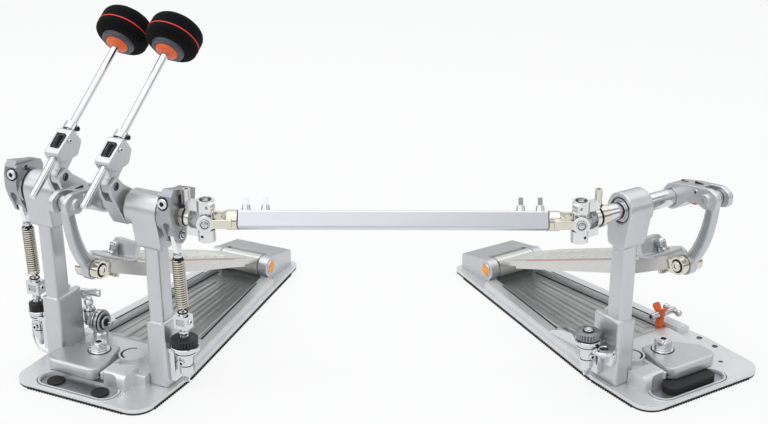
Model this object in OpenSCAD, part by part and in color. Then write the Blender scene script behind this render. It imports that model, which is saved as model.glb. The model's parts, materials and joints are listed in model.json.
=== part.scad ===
// Double bass drum pedal. The pedal on the left carries both beaters; the pedal on the right
// drives the second beater through a shaft with a universal joint at each end.
// Millimetres, Z up. The origin lies on the floor under the middle of the main pedal's axle,
// and X runs along the drive shaft towards the second pedal. Each pedal is drawn in its own
// frame: x along its axle towards the drive shaft, y towards the heel. The second pedal is the
// mirror image of the first.

/* [Layout] */
// Angle between the main pedal's axle and the drive shaft
main_yaw = 25.5; // [15:0.5:32]
// Angle between the second pedal's axle and the drive shaft
slave_yaw = 33; // [20:0.5:36]
// Distance between the centres of the two universal joints
shaft_len = 366; // [340:1:420]
// Height of the axles above the floor
axle_h = 202; // [196:1:212]
// Distance from the middle of a pedal to its universal joint
joint_x = 130; // [128:0.5:140]

/* [Base] */
// Length of the base in front of the axle
front_len = 68; // [64:1:80]
// Length of the base behind the axle
back_len = 328; // [322:1:345]
// Width of the base at the front
front_w = 168; // [162:1:180]
// Width of the base at the heel
heel_w = 88; // [86:1:100]
// Thickness of the rubber mat
mat_t = 2.5; // [1.5:0.1:4]
// Thickness of the base plate
plate_t = 4; // [3:0.1:5]
// Height of the side rails above the plate
rail_h = 8; // [5:0.5:10]
// Width of a side rail
rail_w = 18; // [14:1:20]
// Height of the bridge between the posts above the plate
bridge_h = 12; // [9:0.5:13]

/* [Posts] */
// Distance from the middle of the pedal to a post
post_x = 67; // [65:0.5:70]
// Width of a post's column
column_w = 17; // [14:0.5:20]
// Depth of a post's column
column_d = 23; // [18:0.5:26]
// Width of a post's foot
foot_w = 23; // [20:0.5:24]
// Depth of a post's foot
foot_d = 40; // [32:1:44]
// Height of the top of a post's foot
foot_h = 80; // [60:1:95]
// Radius of the bearing housing
housing_r = 18.5; // [17.5:0.5:20]
// Length of the bearing housings of the main pedal
housing_len = 38; // [34:1:42]

/* [Axles] */
// Radius of the axles
axle_r = 9; // [8:0.25:9.5]
// Radius of the inner axle's journal, which turns inside the outer axle
journal_r = 5; // [4:0.25:5.5]
// Radial running clearance
running = 0.06; // [0.02:0.01:0.1]
// Outer radius of the ball bearings
bearing_r = 14; // [13:0.25:15]
// Width of a ball bearing
bearing_w = 12; // [9:0.5:14]

/* [Footboard] */
// Height of the heel hinge above the floor
hinge_z = 24; // [23:0.5:27]
// Distance of the heel hinge behind the axle
hinge_y = 268; // [262:1:274]
// Reach of the footboard past the screw of its pivot block
board_over = 9.5; // [8:0.5:12]
// Width of the footboard
board_w = 75; // [70:1:80]
// Thickness of the footboard
board_t = 4; // [3:0.25:5]
// Slope of the footboard
board_slope = 21.3; // [21:0.1:21.8]
// Radius of the hinge pin
pin_r = 4.5; // [3.5:0.25:5]
// Radius of the hinge barrel
barrel_r = 12.5; // [11.5:0.25:13]

/* [Linkage] */
// Distance of the cam arm's pivot in front of the axle
cam_y = 50; // [47:0.5:52]
// Height of the cam arm's pivot above the axle
cam_z = 13; // [11:0.5:15]
// Distance of the footboard's pivot in front of the axle
toe_y = 21; // [19:0.5:23]
// Height of the footboard's pivot above the floor
toe_z = 133; // [131:0.5:134]
// Thickness of the link
link_t = 9; // [8:0.5:11]

/* [Beaters] */
// Distance of each beater from the middle of the main pedal
beater_x = 31; // [30.5:0.5:33]
// Angle of the beater shafts above the floor
beater_tilt = 37; // [30:1:45]
// Radius of the beater shafts
shaft_r = 4; // [3.5:0.25:4.5]
// Length of the beater shafts
beater_len = 216; // [205:1:230]
// Radius of the beater heads
head_r = 28.5; // [26:0.5:30]
// Thickness of the felt of the beater heads
head_t = 30; // [27:0.5:36]

/* [Springs] */
// Distance of each spring from the middle of the main pedal
spring_x = 95; // [94:0.5:97]
// Width of the rockers that pull the springs
rocker_w = 15; // [13:0.5:16]
// Radius of the spring, to the middle of its wire
coil_r = 5.9; // [5.2:0.1:6.4]
// Radius of the spring wire
wire_r = 0.9; // [0.7:0.05:0.95]
// Rise of the spring in one curl
coil_pitch = 2.5; // [2.4:0.05:2.6]
// Number of curls
coil_n = 22; // [18:1:24]

/* [Drive shaft] */
// Width across the flats of the drive tube
tube_w = 17.5; // [16:0.5:20]
// Distance from a universal joint's centre to the end of the drive tube
tube_start = 31; // [29:0.5:40]
// Radius of the shafts that slide into the drive tube
stub_r = 5; // [4.5:0.25:5.5]

/* [Hidden] */
$fn = 48;
SMALL_FN = 24;

ALUMINIUM = [0.72, 0.73, 0.76];
SATIN = [0.62, 0.64, 0.66];
CHROME = [0.86, 0.87, 0.89];
NICKEL = [0.74, 0.71, 0.62];
RUBBER = [0.07, 0.07, 0.08];
ORANGE = [0.95, 0.42, 0.10];
GREY = [0.33, 0.34, 0.40];

// Clearance between flat faces that move past each other
gap = 0.3;
// Place of the second pedal
slave_pos_x = joint_x * cos(main_yaw) + shaft_len + joint_x * cos(slave_yaw);
slave_pos_y = joint_x * (sin(slave_yaw) - sin(main_yaw));
drive_start_x = joint_x * cos(main_yaw);
drive_y = -joint_x * sin(main_yaw);

plate_top = mat_t + plate_t;
rail_top = plate_top + rail_h;
bridge_top = plate_top + bridge_h;

// Hoop clamp: place of each jaw's bolt across its pedal, and the jaw's reach around it
main_jaw_x = -14;
slave_jaw_x = 5;
jaw_near = 25;
jaw_far = 42;
jaw_back = 14;
jaw_front = -44;
jaw_t = 8;
jaw_lip = 5;
bolt_y = -3;
bolt_r = 4;

module main_place() {
  rotate([0, 0, -main_yaw]) children();
}

module slave_place() {
  translate([slave_pos_x, slave_pos_y, 0])
    rotate([0, 0, slave_yaw])
      mirror([1, 0, 0])
        children();
}

module drive_place() {
  translate([drive_start_x, drive_y, axle_h]) children();
}

// Helpers for outlines with round corners
function unit(v) = v / norm(v);
function turned(v, a) = [v[0] * cos(a) - v[1] * sin(a), v[0] * sin(a) + v[1] * cos(a)];
function corner_arc(p, q, s, r, n) =
  let (
    a = unit(p - q),
    b = unit(s - q),
    half = acos(max(-1, min(1, a * b))) / 2,
    c = q + unit(a + b) * r / sin(half),
    start = q + a * r / tan(half) - c,
    way = -sign(a[0] * b[1] - a[1] * b[0])
  )
  [for (k = [0:n]) c + turned(start, way * (180 - 2 * half) * k / n)];
function rounded(pts, r, n = 5) =
  let (m = len(pts))
  [for (i = [0:m - 1])
    let (ri = is_list(r) ? r[i] : r)
    each (ri <= 0
      ? [pts[i]]
      : corner_arc(pts[(i + m - 1) % m], pts[i], pts[(i + 1) % m], ri, n))];

// Extrudes an outline drawn in y and z along x, from x0 to x1
module across(x0, x1) {
  translate([x0, 0, 0])
    rotate([90, 0, 90])
      linear_extrude(x1 - x0)
        children();
}

// Round bar along x
module bar_x(r, x0, x1) {
  translate([x0, 0, 0])
    rotate([0, 90, 0])
      cylinder(r = r, h = x1 - x0);
}

// Round bar along y
module bar_y(r, y0, y1) {
  translate([0, y0, 0])
    rotate([-90, 0, 0])
      cylinder(r = r, h = y1 - y0);
}

// Round bar along z
module bar_z(r, z0, z1) {
  translate([0, 0, z0])
    cylinder(r = r, h = z1 - z0);
}

// Base plates and mats
taper_y = 20;
function side_x(y) =
  y < taper_y
    ? front_w / 2
    : front_w / 2 + (heel_w - front_w) / 2 * (y - taper_y) / (back_len - taper_y);

function base_outline(inset) = rounded(
  [
    [-front_w / 2 + inset, -front_len + inset],
    [front_w / 2 - inset, -front_len + inset],
    [front_w / 2 - inset, taper_y],
    [heel_w / 2 - inset, back_len - inset],
    [-heel_w / 2 + inset, back_len - inset],
    [-front_w / 2 + inset, taper_y]
  ],
  [22, 22, 90, 10, 10, 90], 6);

mat_inset = 1.2;

module mat() {
  color(RUBBER)
    linear_extrude(mat_t)
      polygon(base_outline(mat_inset));
}

rail_edge = 4;
rail_y0 = 40;
rail_y1 = 258;
rail_step = 1.6;

module rail_outline(side, inset) {
  out0 = side_x(rail_y0) - rail_edge - inset;
  out1 = side_x(rail_y1) - rail_edge - inset;
  wide = rail_w - 2 * inset;
  polygon([
    [side * out0, rail_y0 + inset],
    [side * out1, rail_y1 - inset],
    [side * (out1 - wide), rail_y1 - inset],
    [side * (out0 - wide), rail_y0 + inset]
  ]);
}

module rail(side) {
  translate([0, 0, plate_top])
    linear_extrude(rail_h - rail_step)
      rail_outline(side, 0);
  translate([0, 0, plate_top])
    linear_extrude(rail_h)
      rail_outline(side, rail_step);
}

// Low ribs along the floor of the channel between the rails
rib_x = [-30, -10, 10, 30];
rib_w = 3;
rib_h = 1.6;
rib_y0 = 62;
rib_y1 = 232;

module channel_ribs() {
  shrink = (side_x(rib_y1) - rail_w) / (side_x(rib_y0) - rail_w);
  for (x = rib_x)
    translate([0, 0, plate_top])
      linear_extrude(rib_h)
        polygon([
          [x - rib_w / 2, rib_y0],
          [x + rib_w / 2, rib_y0],
          [x * shrink + rib_w / 2, rib_y1],
          [x * shrink - rib_w / 2, rib_y1]
        ]);
}

// Bridge that joins the posts and carries the hoop clamp
bridge_front = -20;
bridge_back = 44;
bridge_toe = 66;

module bridge(x0, x1) {
  across(x0, x1)
    polygon(rounded(
      [
        [bridge_front, plate_top - 1],
        [bridge_toe, plate_top - 1],
        [bridge_toe, plate_top],
        [bridge_back, bridge_top],
        [bridge_front, bridge_top]
      ],
      [0, 0, 0, 14, 2], 4));
}

// Housing of the clamp's side screw, beside the jaw: a block in front and a round lobe behind
block_w = 29;
block_y0 = -40;
block_y1 = -12.5;
block_top = 24;
lobe_r = 15;
lobe_x = 35;
lobe_y = 8;

module clamp_block(jaw_x) {
  x0 = jaw_x + jaw_near + 3;
  difference() {
    union() {
      across(x0, x0 + block_w)
        polygon(rounded(
          [
            [block_y0, plate_top - 1],
            [block_y1, plate_top - 1],
            [block_y1, block_top],
            [block_y0 + 2, block_top]
          ],
          [0, 0, 5, 7], 5));
      translate([jaw_x + lobe_x, lobe_y, 0])
        bar_z(lobe_r, plate_top - 1, block_top + 1);
    }
    // Curved slot in the lobe's top
    translate([jaw_x + lobe_x, lobe_y, block_top - 2])
      difference() {
        cylinder(r = lobe_r - 2, h = 6);
        cylinder(r = lobe_r - 4.5, h = 20, center = true);
        translate([-2, -30, -3])
          cube([40, 60, 20]);
      }
  }
}

recess_depth = 2;
recess_y0 = -62;
recess_y1 = -36;

module clamp_recess(jaw_x, z0) {
  x0 = jaw_x - 41;
  x1 = jaw_x + 52;
  r = (recess_y1 - recess_y0) / 2;
  translate([0, 0, z0])
    linear_extrude(40)
      polygon(rounded(
        [[x0, recess_y0], [x1, recess_y0], [x1, recess_y1], [x0, recess_y1]],
        r - 0.5, 6));
}

mount_hole_r = 2.6;
mount_hole_y = [-2, 22];
disc_hole = [-56, -31];

module base(jaw_x, both_posts) {
  inner = post_x - foot_w / 2;
  color(SATIN)
    difference() {
      union() {
        translate([0, 0, mat_t])
          linear_extrude(plate_t)
            polygon(base_outline(0));
        rail(1);
        rail(-1);
        channel_ribs();
        bridge(both_posts ? -inner : -inner + 8, inner);
        clamp_block(jaw_x);
      }
      clamp_recess(jaw_x, plate_top - recess_depth);
      translate([jaw_x, bolt_y, 0])
        cylinder(r = bolt_r + running, h = 60);
      for (y = mount_hole_y)
        translate([-front_w / 2 + 8, y, 0])
          cylinder(r = mount_hole_r, h = 60, $fn = SMALL_FN);
      translate([disc_hole[0], disc_hole[1], 0])
        cylinder(r = mount_hole_r, h = 60, $fn = SMALL_FN);
    }
}

// Posts
foot_front = -12;
column_front = -10;
head_bottom = axle_h - 40;
head_half = 15;
groove_w = 3;

// Housings reach from the post's inner side towards its outer side
inner_reach = 23;
slave_housing = [-17, 12];
main_housing = [-inner_reach, -inner_reach + housing_len];

module post(housing) {
  color(ALUMINIUM)
    difference() {
      union() {
        translate([0, 0, plate_top])
          linear_extrude(foot_h - plate_top)
            polygon(rounded(
              [
                [-foot_w / 2, foot_front],
                [foot_w / 2, foot_front],
                [foot_w / 2, foot_front + foot_d],
                [-foot_w / 2, foot_front + foot_d]
              ],
              3, 4));
        translate([0, 0, foot_h - 1])
          linear_extrude(axle_h - foot_h)
            polygon(rounded(
              [
                [-column_w / 2, column_front],
                [column_w / 2, column_front],
                [column_w / 2, column_front + column_d],
                [-column_w / 2, column_front + column_d]
              ],
              4, 4));
        across(max(-head_half, housing[0] + 1), min(head_half, housing[1] + 1))
          polygon(rounded(
            [
              [-12, head_bottom],
              [14, head_bottom],
              [housing_r - 1, axle_h - 6],
              [housing_r - 1, axle_h + 4],
              [-housing_r + 1, axle_h + 4],
              [-housing_r + 1, axle_h - 6]
            ],
            [6, 6, 10, 0, 0, 10], 4));
        translate([0, 0, axle_h])
          bar_x(housing_r, housing[0], housing[1]);
      }
      translate([0, 0, axle_h])
        bar_x(bearing_r, -60, 60);
      // The foot is open behind, where the column's height screw sits
      translate([-groove_w, foot_front + foot_d - 6, plate_top + 6])
        cube([2 * groove_w, 20, foot_h]);
    }
}

module post_at(housing) {
  translate([post_x, 0, 0])
    post(housing);
}

module bearing(x) {
  translate([x, 0, axle_h])
    difference() {
      bar_x(bearing_r, -bearing_w / 2, bearing_w / 2);
      bar_x(axle_r + running, -bearing_w, bearing_w);
    }
}

module bearings() {
  sink = bearing_w / 2 + 1;
  color(CHROME) {
    for (side = [-1, 1])
      for (x = [main_housing[0] + sink, main_housing[1] - sink])
        main_place() bearing(side * (post_x + x));
    for (x = [slave_housing[0] + sink, slave_housing[1] - sink])
      slave_place() bearing(post_x + x);
  }
}

// Heel plate with its two hinge ears
heel_back = 320;
heel_rear_z = 27;
ear_w = 12;
ear_x = 40;
slot_gap = 0.6;

module heel_plate() {
  color(ALUMINIUM)
    difference() {
      union() {
        across(-ear_x + 2, ear_x - 2)
          polygon(rounded(
            [
              [hinge_y - 6, plate_top],
              [heel_back, plate_top],
              [heel_back, heel_rear_z],
              [hinge_y, hinge_z + barrel_r],
              [hinge_y - 6, hinge_z]
            ],
            [0, 0, 4, 0, 0], 4));
        for (side = [-1, 1])
          translate([0, hinge_y, hinge_z])
            bar_x(barrel_r, side > 0 ? ear_x - ear_w : -ear_x, side > 0 ? ear_x : -ear_x + ear_w);
      }
      translate([-ear_x + ear_w, hinge_y - 40, plate_top - 1])
        cube([2 * (ear_x - ear_w), 40 + barrel_r + slot_gap, 60]);
      translate([0, hinge_y, hinge_z])
        bar_x(pin_r, -60, 60);
      for (side = [-1, 1])
        translate([0, hinge_y, hinge_z])
          bar_x(cap_r, side > 0 ? ear_x - cap_sink : -60, side > 0 ? 60 : -ear_x + cap_sink);
    }
}

cap_r = 8.6;
cap_sink = 1.5;
cap_proud = 0.8;

module hinge_pins() {
  color(CHROME) {
    main_place() hinge_pin();
    slave_place() hinge_pin();
  }
}

module hinge_pin() {
  translate([0, hinge_y, hinge_z])
    bar_x(pin_r, -ear_x + cap_sink, ear_x - cap_sink);
}

module hinge_caps() {
  color(ORANGE)
    for (side = [-1, 1]) {
      main_place() hinge_cap(side);
      slave_place() hinge_cap(side);
    }
}

module hinge_cap(side) {
  translate([0, hinge_y, hinge_z])
    bar_x(cap_r, side > 0 ? ear_x - cap_sink : -ear_x - cap_proud,
      side > 0 ? ear_x + cap_proud : -ear_x + cap_sink);
}

// Footboard, drawn in a frame at the hinge: u runs up the board, n stands on its face
pivot_depth = 22;
pivot_screw_u = (hinge_y + toe_y - pivot_depth) / cos(board_slope);
board_top = 8;
board_len = pivot_screw_u + board_over;
board_back_w = 55;
board_nose = 15;
board_taper = board_len - 32;
skirt_front = 14;
skirt_back = 7;
skirt_t = 3;
waist_u = 52;

module board_place() {
  translate([0, hinge_y, hinge_z])
    rotate([-board_slope, 0, 0])
      children();
}

// Plan of the board in x and u, drawn inset by d along its straight sides and its tapered front
function board_plan(d) =
  let (
    half = board_w / 2 - d,
    back = board_back_w / 2 - slot_gap - d,
    nose = board_nose - d * 0.6
  )
  [
    [-back, 0], [-back, -18], [-half, -waist_u], [-half, -board_taper], [-nose, -board_len],
    [nose, -board_len], [half, -board_taper], [half, -waist_u], [back, -18], [back, 0]
  ];

module footboard() {
  half = board_w / 2;
  back = board_back_w / 2 - slot_gap;
  color(ALUMINIUM)
    difference() {
      union() {
        board_place() {
          translate([0, 0, board_top - board_t])
            linear_extrude(board_t)
              polygon(rounded(board_plan(0), [0, 8, 12, 6, 4, 4, 6, 12, 8, 0], 4));
          for (side = [-1, 1]) {
            across(side > 0 ? half - skirt_t : -half, side > 0 ? half : -half + skirt_t)
              polygon([
                [-waist_u - 8, board_top - 1],
                [-waist_u - 8, board_top - skirt_back],
                [-board_taper, board_top - skirt_front],
                [-board_taper, board_top - 1]
              ]);
            // Skirt along the tapered front
            translate([0, 0, board_top - skirt_front])
              linear_extrude(skirt_front - 1)
                polygon([
                  [side * half, -board_taper],
                  [side * board_nose, -board_len],
                  [side * (board_nose - 1), -board_len],
                  [side * (half - skirt_t), -board_taper]
                ]);
          }
          // Raised tread that runs up the middle of the board
          translate([0, 0, board_top])
            linear_extrude(1)
              polygon(rounded(
                [[-24, -30], [-26, -board_taper + 14], [26, -board_taper + 14], [24, -30]],
                8, 4));
        }
        translate([0, hinge_y, hinge_z])
          bar_x(barrel_r, -back, back);
      }
      translate([0, hinge_y, hinge_z])
        bar_x(pin_r + running, -60, 60);
    }
}

// Bracket on the front of the footboard that stops the toes, with its screw
stop_u = -board_len + 18;
stop_x0 = -2;
stop_x1 = 29;
stop_foot = -20;
stop_h = 22;
stop_t = 8;

module toe_stop() {
  color(ALUMINIUM)
    board_place()
      translate([0, stop_u, board_top]) {
        rotate([90, 0, 0])
          translate([0, 0, -stop_t])
            linear_extrude(stop_t)
              polygon(rounded(
                [
                  [stop_x0 - 3, 0],
                  [stop_x1, 0],
                  [stop_x1 + 1, stop_h - 2],
                  [stop_x0 + 5, stop_h],
                  [stop_x0 - 1, stop_h * 0.6]
                ],
                [0, 0, 3, 4, 6], 4));
        linear_extrude(3.5)
          polygon(rounded(
            [[stop_foot, 0], [stop_x1, 0], [stop_x1, -14], [stop_foot + 6, -14]],
            [4, 2, 2, 4], 4));
        translate([stop_x0 + 8, -6, 3])
          bar_z(3.8, 0, 10);
      }
}

// Clevis under the front of the footboard, with the link's lower pivot pin
cheek_in = link_t / 2 + 0.5;
cheek_out = cheek_in + 8.5;
cheek_r = 9.5;
toe_pin_r = 3.5;
eye_r = 11.5;

module pivot_block() {
  color(NICKEL)
    union() {
      for (side = [-1, 1])
        across(side > 0 ? cheek_in : -cheek_out, side > 0 ? cheek_out : -cheek_in)
          union() {
            translate([-toe_y, toe_z])
              circle(r = cheek_r);
            polygon([
              [-toe_y, toe_z - cheek_r],
              [-toe_y + pivot_depth - 4, toe_z - cheek_r - 2],
              [-toe_y + pivot_depth, board_z(-toe_y + pivot_depth)],
              [-toe_y + 6, board_z(-toe_y + 6)],
              [-toe_y - 2, toe_z + cheek_r]
            ]);
          }
      across(-cheek_in, cheek_in)
        polygon([
          [-toe_y + eye_r + 2, toe_z - cheek_r - 1],
          [-toe_y + eye_r + 6, toe_z - cheek_r - 1],
          [-toe_y + pivot_depth, board_z(-toe_y + pivot_depth)],
          [-toe_y + eye_r + 2, board_z(-toe_y + eye_r + 2)]
        ]);
      translate([0, -toe_y, toe_z])
        bar_x(toe_pin_r, -cheek_out - 1.5, cheek_out + 1.5);
      // Screw under the front corner of the board
      board_place()
        translate([cheek_out + 1, -pivot_screw_u, board_top]) {
          bar_z(2.4, -skirt_front - 1, -board_t);
          bar_z(4.5, -skirt_front - 4, -skirt_front);
        }
    }
}

// Height of the board's underside over a point of its pedal
function board_z(y) =
  hinge_z + (hinge_y - y) * tan(board_slope) + (board_top - board_t) / cos(board_slope);

// Link between the footboard and the cam arm, a bowed bar with an eye at each end
link_top_r = 7.5;
link_bow = 9.5;

function link_line(side) =
  let (
    a = [-toe_y, toe_z],
    b = [-cam_y, axle_h + cam_z],
    along = unit(b - a),
    out = [-along[1], along[0]],
    half0 = 6.5,
    half1 = link_top_r - 2
  )
  [for (k = [0:10])
    let (t = k / 10, half = half0 + (half1 - half0) * t)
    a + (b - a) * t + out * (link_bow * 4 * t * (1 - t) * (1 - 0.35 * t) + side * half)];

module link() {
  color(ALUMINIUM)
    difference() {
      union() {
        across(-link_t / 2, link_t / 2)
          polygon(concat(link_line(1), [for (k = [10:-1:0]) link_line(-1)[k]]));
        translate([0, -toe_y, toe_z])
          bar_x(eye_r, -link_t / 2, link_t / 2);
        translate([0, -cam_y, axle_h + cam_z])
          bar_x(link_top_r, -link_t / 2, link_t / 2);
      }
      translate([0, -toe_y, toe_z])
        bar_x(toe_pin_r + running, -20, 20);
    }
}

// Cam arm: a forked arm clamped on the axle; its two screws hold the link's upper eye
arm_in = link_t / 2 + 0.6;
arm_out = arm_in + 6;
collar_r = 12.5;
web_clear = link_top_r + 7;

module cam_arm() {
  color(ALUMINIUM)
    difference() {
      across(-arm_out, arm_out)
        translate([0, axle_h])
          union() {
            circle(r = collar_r);
            polygon(rounded(
              [
                [9, -8],
                [12.5, 2],
                [6, 14],
                [-20, 20],
                [-cam_y - 2, cam_z + 12],
                [-cam_y - 15, cam_z + 7],
                [-cam_y - 14, cam_z - 7],
                [-cam_y + 3, cam_z - 11],
                [-cam_y + 13, cam_z - 8],
                [-22, 2],
                [-11, -7]
              ],
              [2, 6, 12, 20, 9, 7, 7, 7, 6, 8, 4], 4));
          }
      // Fork for the link
      translate([0, -cam_y, axle_h + cam_z])
        bar_x(web_clear, -arm_in, arm_in);
      translate([-arm_in, -cam_y - 40, axle_h + cam_z - 30])
        cube([2 * arm_in, 40 + web_clear - 4, 40]);
      translate([0, 0, axle_h])
        bar_x(axle_r, -40, 40);
    }
  color(CHROME)
    for (side = [-1, 1])
      translate([0, -cam_y, axle_h + cam_z])
        bar_x(6, side > 0 ? arm_out : -arm_out - 3, side > 0 ? arm_out + 3 : -arm_out);
}

// Axles. The main pedal has two on one line: the left one turns with the footboard, and its
// journal runs inside the right one, which the drive shaft turns.
axle_end = spring_x + rocker_w / 2 - 1;
inner_end = beater_x - 10;

module left_axle() {
  color(CHROME)
    translate([0, 0, axle_h]) {
      bar_x(axle_r, -axle_end, inner_end - gap);
      bar_x(journal_r, inner_end - 2, post_x + 10);
    }
}

// Half of a universal joint on an axle: a round hub and a bracket with two upright bosses
boss_r = 8.8;
boss_in = 9.3;
boss_out = 21.5;
hub_r = 10;
hub_reach = 15.2;
web_t = 5;
web_half = 5;
web_drop = 4;

module axle_fork() {
  web_top = boss_out - web_drop;
  difference() {
    union() {
      for (side = [-1, 1]) {
        bar_z(boss_r, side > 0 ? boss_in : -boss_out, side > 0 ? boss_out : -boss_in);
        translate([-hub_reach, -web_half, side > 0 ? boss_in : -web_top])
          cube([hub_reach, 2 * web_half, web_top - boss_in]);
      }
      translate([-hub_reach - web_t, -web_half, -web_top])
        cube([web_t, 2 * web_half, 2 * web_top]);
      bar_x(hub_r, -hub_reach - web_t, -hub_reach);
      // Side boss with the set screw of the upper pin
      translate([6.5, 0, (boss_in + boss_out) / 2 + 1])
        bar_y(4.8, -8.5, 0);
    }
    bar_z(cross_r + cross_play, -40, 40);
    translate([6.5, 0, (boss_in + boss_out) / 2 + 1])
      bar_y(1.8, -9, -5, $fn = 6);
  }
}

// Clamp that holds the universal joint on an axle: a collar with a ring, and its upright screw
clamp_r = axle_r + 1.2;
ring_w = 3.5;
clamp_end = joint_x - hub_reach - web_t - 1.4;
clamp_screw_r = 3.8;
clamp_screw_top = 29;

module axle_clamp(start) {
  translate([joint_x, 0, 0])
    axle_fork();
  bar_x(clamp_r, start, clamp_end);
  bar_x(clamp_r + 1.2, clamp_end - ring_w, clamp_end);
  translate([clamp_end, 0, 0])
    difference() {
      bar_z(clamp_screw_r, clamp_r - 2, clamp_screw_top);
      bar_z(2, clamp_screw_top - 3, clamp_screw_top + 1, $fn = 6);
    }
}

module right_axle() {
  color(NICKEL)
    translate([0, 0, axle_h])
      union() {
        difference() {
          bar_x(axle_r, inner_end, joint_x - hub_reach - 1);
          bar_x(journal_r + running, inner_end - 1, post_x + 11);
        }
        axle_clamp(spring_x + rocker_w / 2 + 0.8);
      }
}

slave_collar_x = 98;

module slave_axle() {
  color(NICKEL)
    translate([0, 0, axle_h])
      union() {
        bar_x(axle_r, -arm_out - 2, joint_x - hub_reach - 1);
        axle_clamp(slave_collar_x);
      }
}

// Rocker outside a post: a block clamped on the axle, with a fork below that holds the spring's
// hook on a pin
hook_y = -3;
hook_z = -20;
hook_pin_r = 2;
hook_w = 8;
hook_clear = 8.3;
flange_r = 19;
flange_t = 4;

module rocker_outline() {
  polygon(rounded(
    [
      [-17, 27], [-20.5, 15], [-20.5, 2], [-17.5, -8], [-12.5, -19], [-9.5, -27], [-3, -29.5],
      [4.5, -26], [5.5, -16], [11.5, -9], [13.5, 2], [22, 6], [24.5, 17], [20, 22.5]
    ],
    [3, 9, 9, 9, 9, 6, 6, 6, 6, 6, 6, 5, 5, 4], 4));
}

// Drawn at the axle, with its outer side towards +x
module rocker_block() {
  half = rocker_w / 2;
  color(ALUMINIUM)
    difference() {
      union() {
        across(-half, half)
          rocker_outline();
        // Cover strip on the top
        across(-half + 2.5, half)
          polygon([[-17, 26], [-13, 30.5], [25, 20.5], [23, 16]]);
        bar_x(flange_r, -half - flange_t, -half);
      }
      bar_x(axle_r, -40, 40);
      // Gap of the clamp over the axle
      translate([-20, -5, 0])
        cube([40, 4.5, 23]);
      // Fork for the spring's hook, open in front and below
      translate([0, 0, -7])
        bar_y(hook_w / 2, -40, -11.5);
      translate([-hook_w / 2, -40, -50])
        cube([hook_w, 28.5, 43]);
      translate([0, hook_y, hook_z])
        bar_x(hook_clear, -hook_w / 2, hook_w / 2);
      translate([-hook_w / 2, -20, -50])
        cube([hook_w, 20 + hook_y + hook_clear, 50 + hook_z]);
      // Recess for the head of the pin
      translate([0, hook_y, hook_z])
        bar_x(6, half - 1, 20);
      // Recess for the clamp's screw
      translate([-2, 0, 17])
        bar_y(6.8, -40, -18);
    }
  color(CHROME) {
    translate([-2, 0, 17])
      difference() {
        bar_y(5.2, -20.5, -17);
        bar_y(2.6, -22, -18.5, $fn = 6);
      }
    translate([0, hook_y, hook_z]) {
      bar_x(hook_pin_r, -half - 1, half + 0.5);
      bar_x(4.5, half - 1.5, half + 0.8);
    }
  }
}

module rocker(side) {
  mirror([side < 0 ? 1 : 0, 0, 0])
    translate([spring_x, 0, axle_h])
      rocker_block();
}

// Beaters, drawn in a frame at the axle: y runs along the beater shaft
shaft_v = 52;
shaft_start = -39;
hub_w = 17;
hinge_u = 0;
hinge_v = 33;
tongue_w = 8;
head_u0 = 8;
head_u1 = 42;
head_v0 = 40;
head_v1 = 60;
collar_u = 8;

module beater_place(x) {
  translate([x, 0, axle_h])
    rotate([beater_tilt, 0, 0])
      children();
}

module hub(x) {
  color(ALUMINIUM)
    beater_place(x)
      difference() {
        union() {
          bar_x(16, -hub_w / 2, hub_w / 2);
          across(-hub_w / 2, hub_w / 2)
            polygon(rounded(
              [
                [-16, 0],
                [hinge_u - 11, hinge_v - 2],
                [hinge_u - 7, hinge_v + 8],
                [hinge_u + 8, hinge_v + 6],
                [hinge_u + 9, hinge_v - 8],
                [15, 6],
                [8, -14],
                [-18, -15]
              ],
              [6, 4, 5, 5, 4, 6, 4, 6], 4));
        }
        bar_x(axle_r, -40, 40);
        translate([-tongue_w / 2 - gap, -30, hinge_v - 12])
          cube([tongue_w + 2 * gap, 60, 60]);
        translate([0, hinge_u, hinge_v])
          bar_x(3, -40, 40, $fn = SMALL_FN);
      }
}

module hub_head(x) {
  color(ALUMINIUM)
    beater_place(x)
      difference() {
        union() {
          across(-tongue_w / 2, tongue_w / 2)
            union() {
              translate([hinge_u, hinge_v])
                circle(r = 8.5);
              polygon([
                [hinge_u - 6, hinge_v + 4],
                [hinge_u + 8, hinge_v - 3],
                [head_u1 - 12, head_v0 - 8],
                [head_u1 - 2, head_v0 + 2],
                [head_u0 + 4, head_v0 + 6]
              ]);
            }
          across(-hub_w / 2, hub_w / 2)
            polygon(rounded(
              [
                [head_u0 + 3, head_v0 + 3],
                [head_u1 - 14, head_v0 - 8],
                [head_u1, head_v0 - 2],
                [head_u1, head_v1 - 2],
                [head_u0, head_v1],
                [head_u0 - 1, head_v1 - 10]
              ],
              [3, 4, 3, 3, 3, 3], 3));
          translate([0, hinge_u, hinge_v])
            bar_x(3, -hub_w / 2 - 0.5, hub_w / 2 + 0.5, $fn = SMALL_FN);
        }
        translate([0, 0, shaft_v])
          bar_y(shaft_r + running, -60, 100);
        // Window over the beater shaft
        translate([-4.5, (head_u0 + head_u1) / 2 - 8, shaft_v + 1])
          cube([9, 16, 20]);
      }
}

felt_start = shaft_start + beater_len - 18;

module beater_shaft(x) {
  color(CHROME)
    beater_place(x)
      translate([0, 0, shaft_v])
        union() {
          bar_y(shaft_r, shaft_start, shaft_start + beater_len);
          translate([0, head_u1 + gap, 0])
            bar_y(shaft_r + 3.5, 0, collar_u);
        }
}

// Drum-shaped felt with a round edge
felt_edge = 9;
core_r = 18;
core_t = 4;
insert_r = 12.5;

function felt_profile() = concat(
  [[shaft_r, 0], [head_r - felt_edge * 1.2, 0]],
  [for (a = [-90:15:0])
    [head_r - felt_edge + felt_edge * cos(a), felt_edge * 0.8 + felt_edge * 0.8 * sin(a)]],
  [for (a = [0:15:90])
    [head_r - felt_edge + felt_edge * cos(a), head_t - felt_edge + felt_edge * sin(a)]],
  [[0, head_t], [0, 18], [shaft_r, 18]]);

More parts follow.
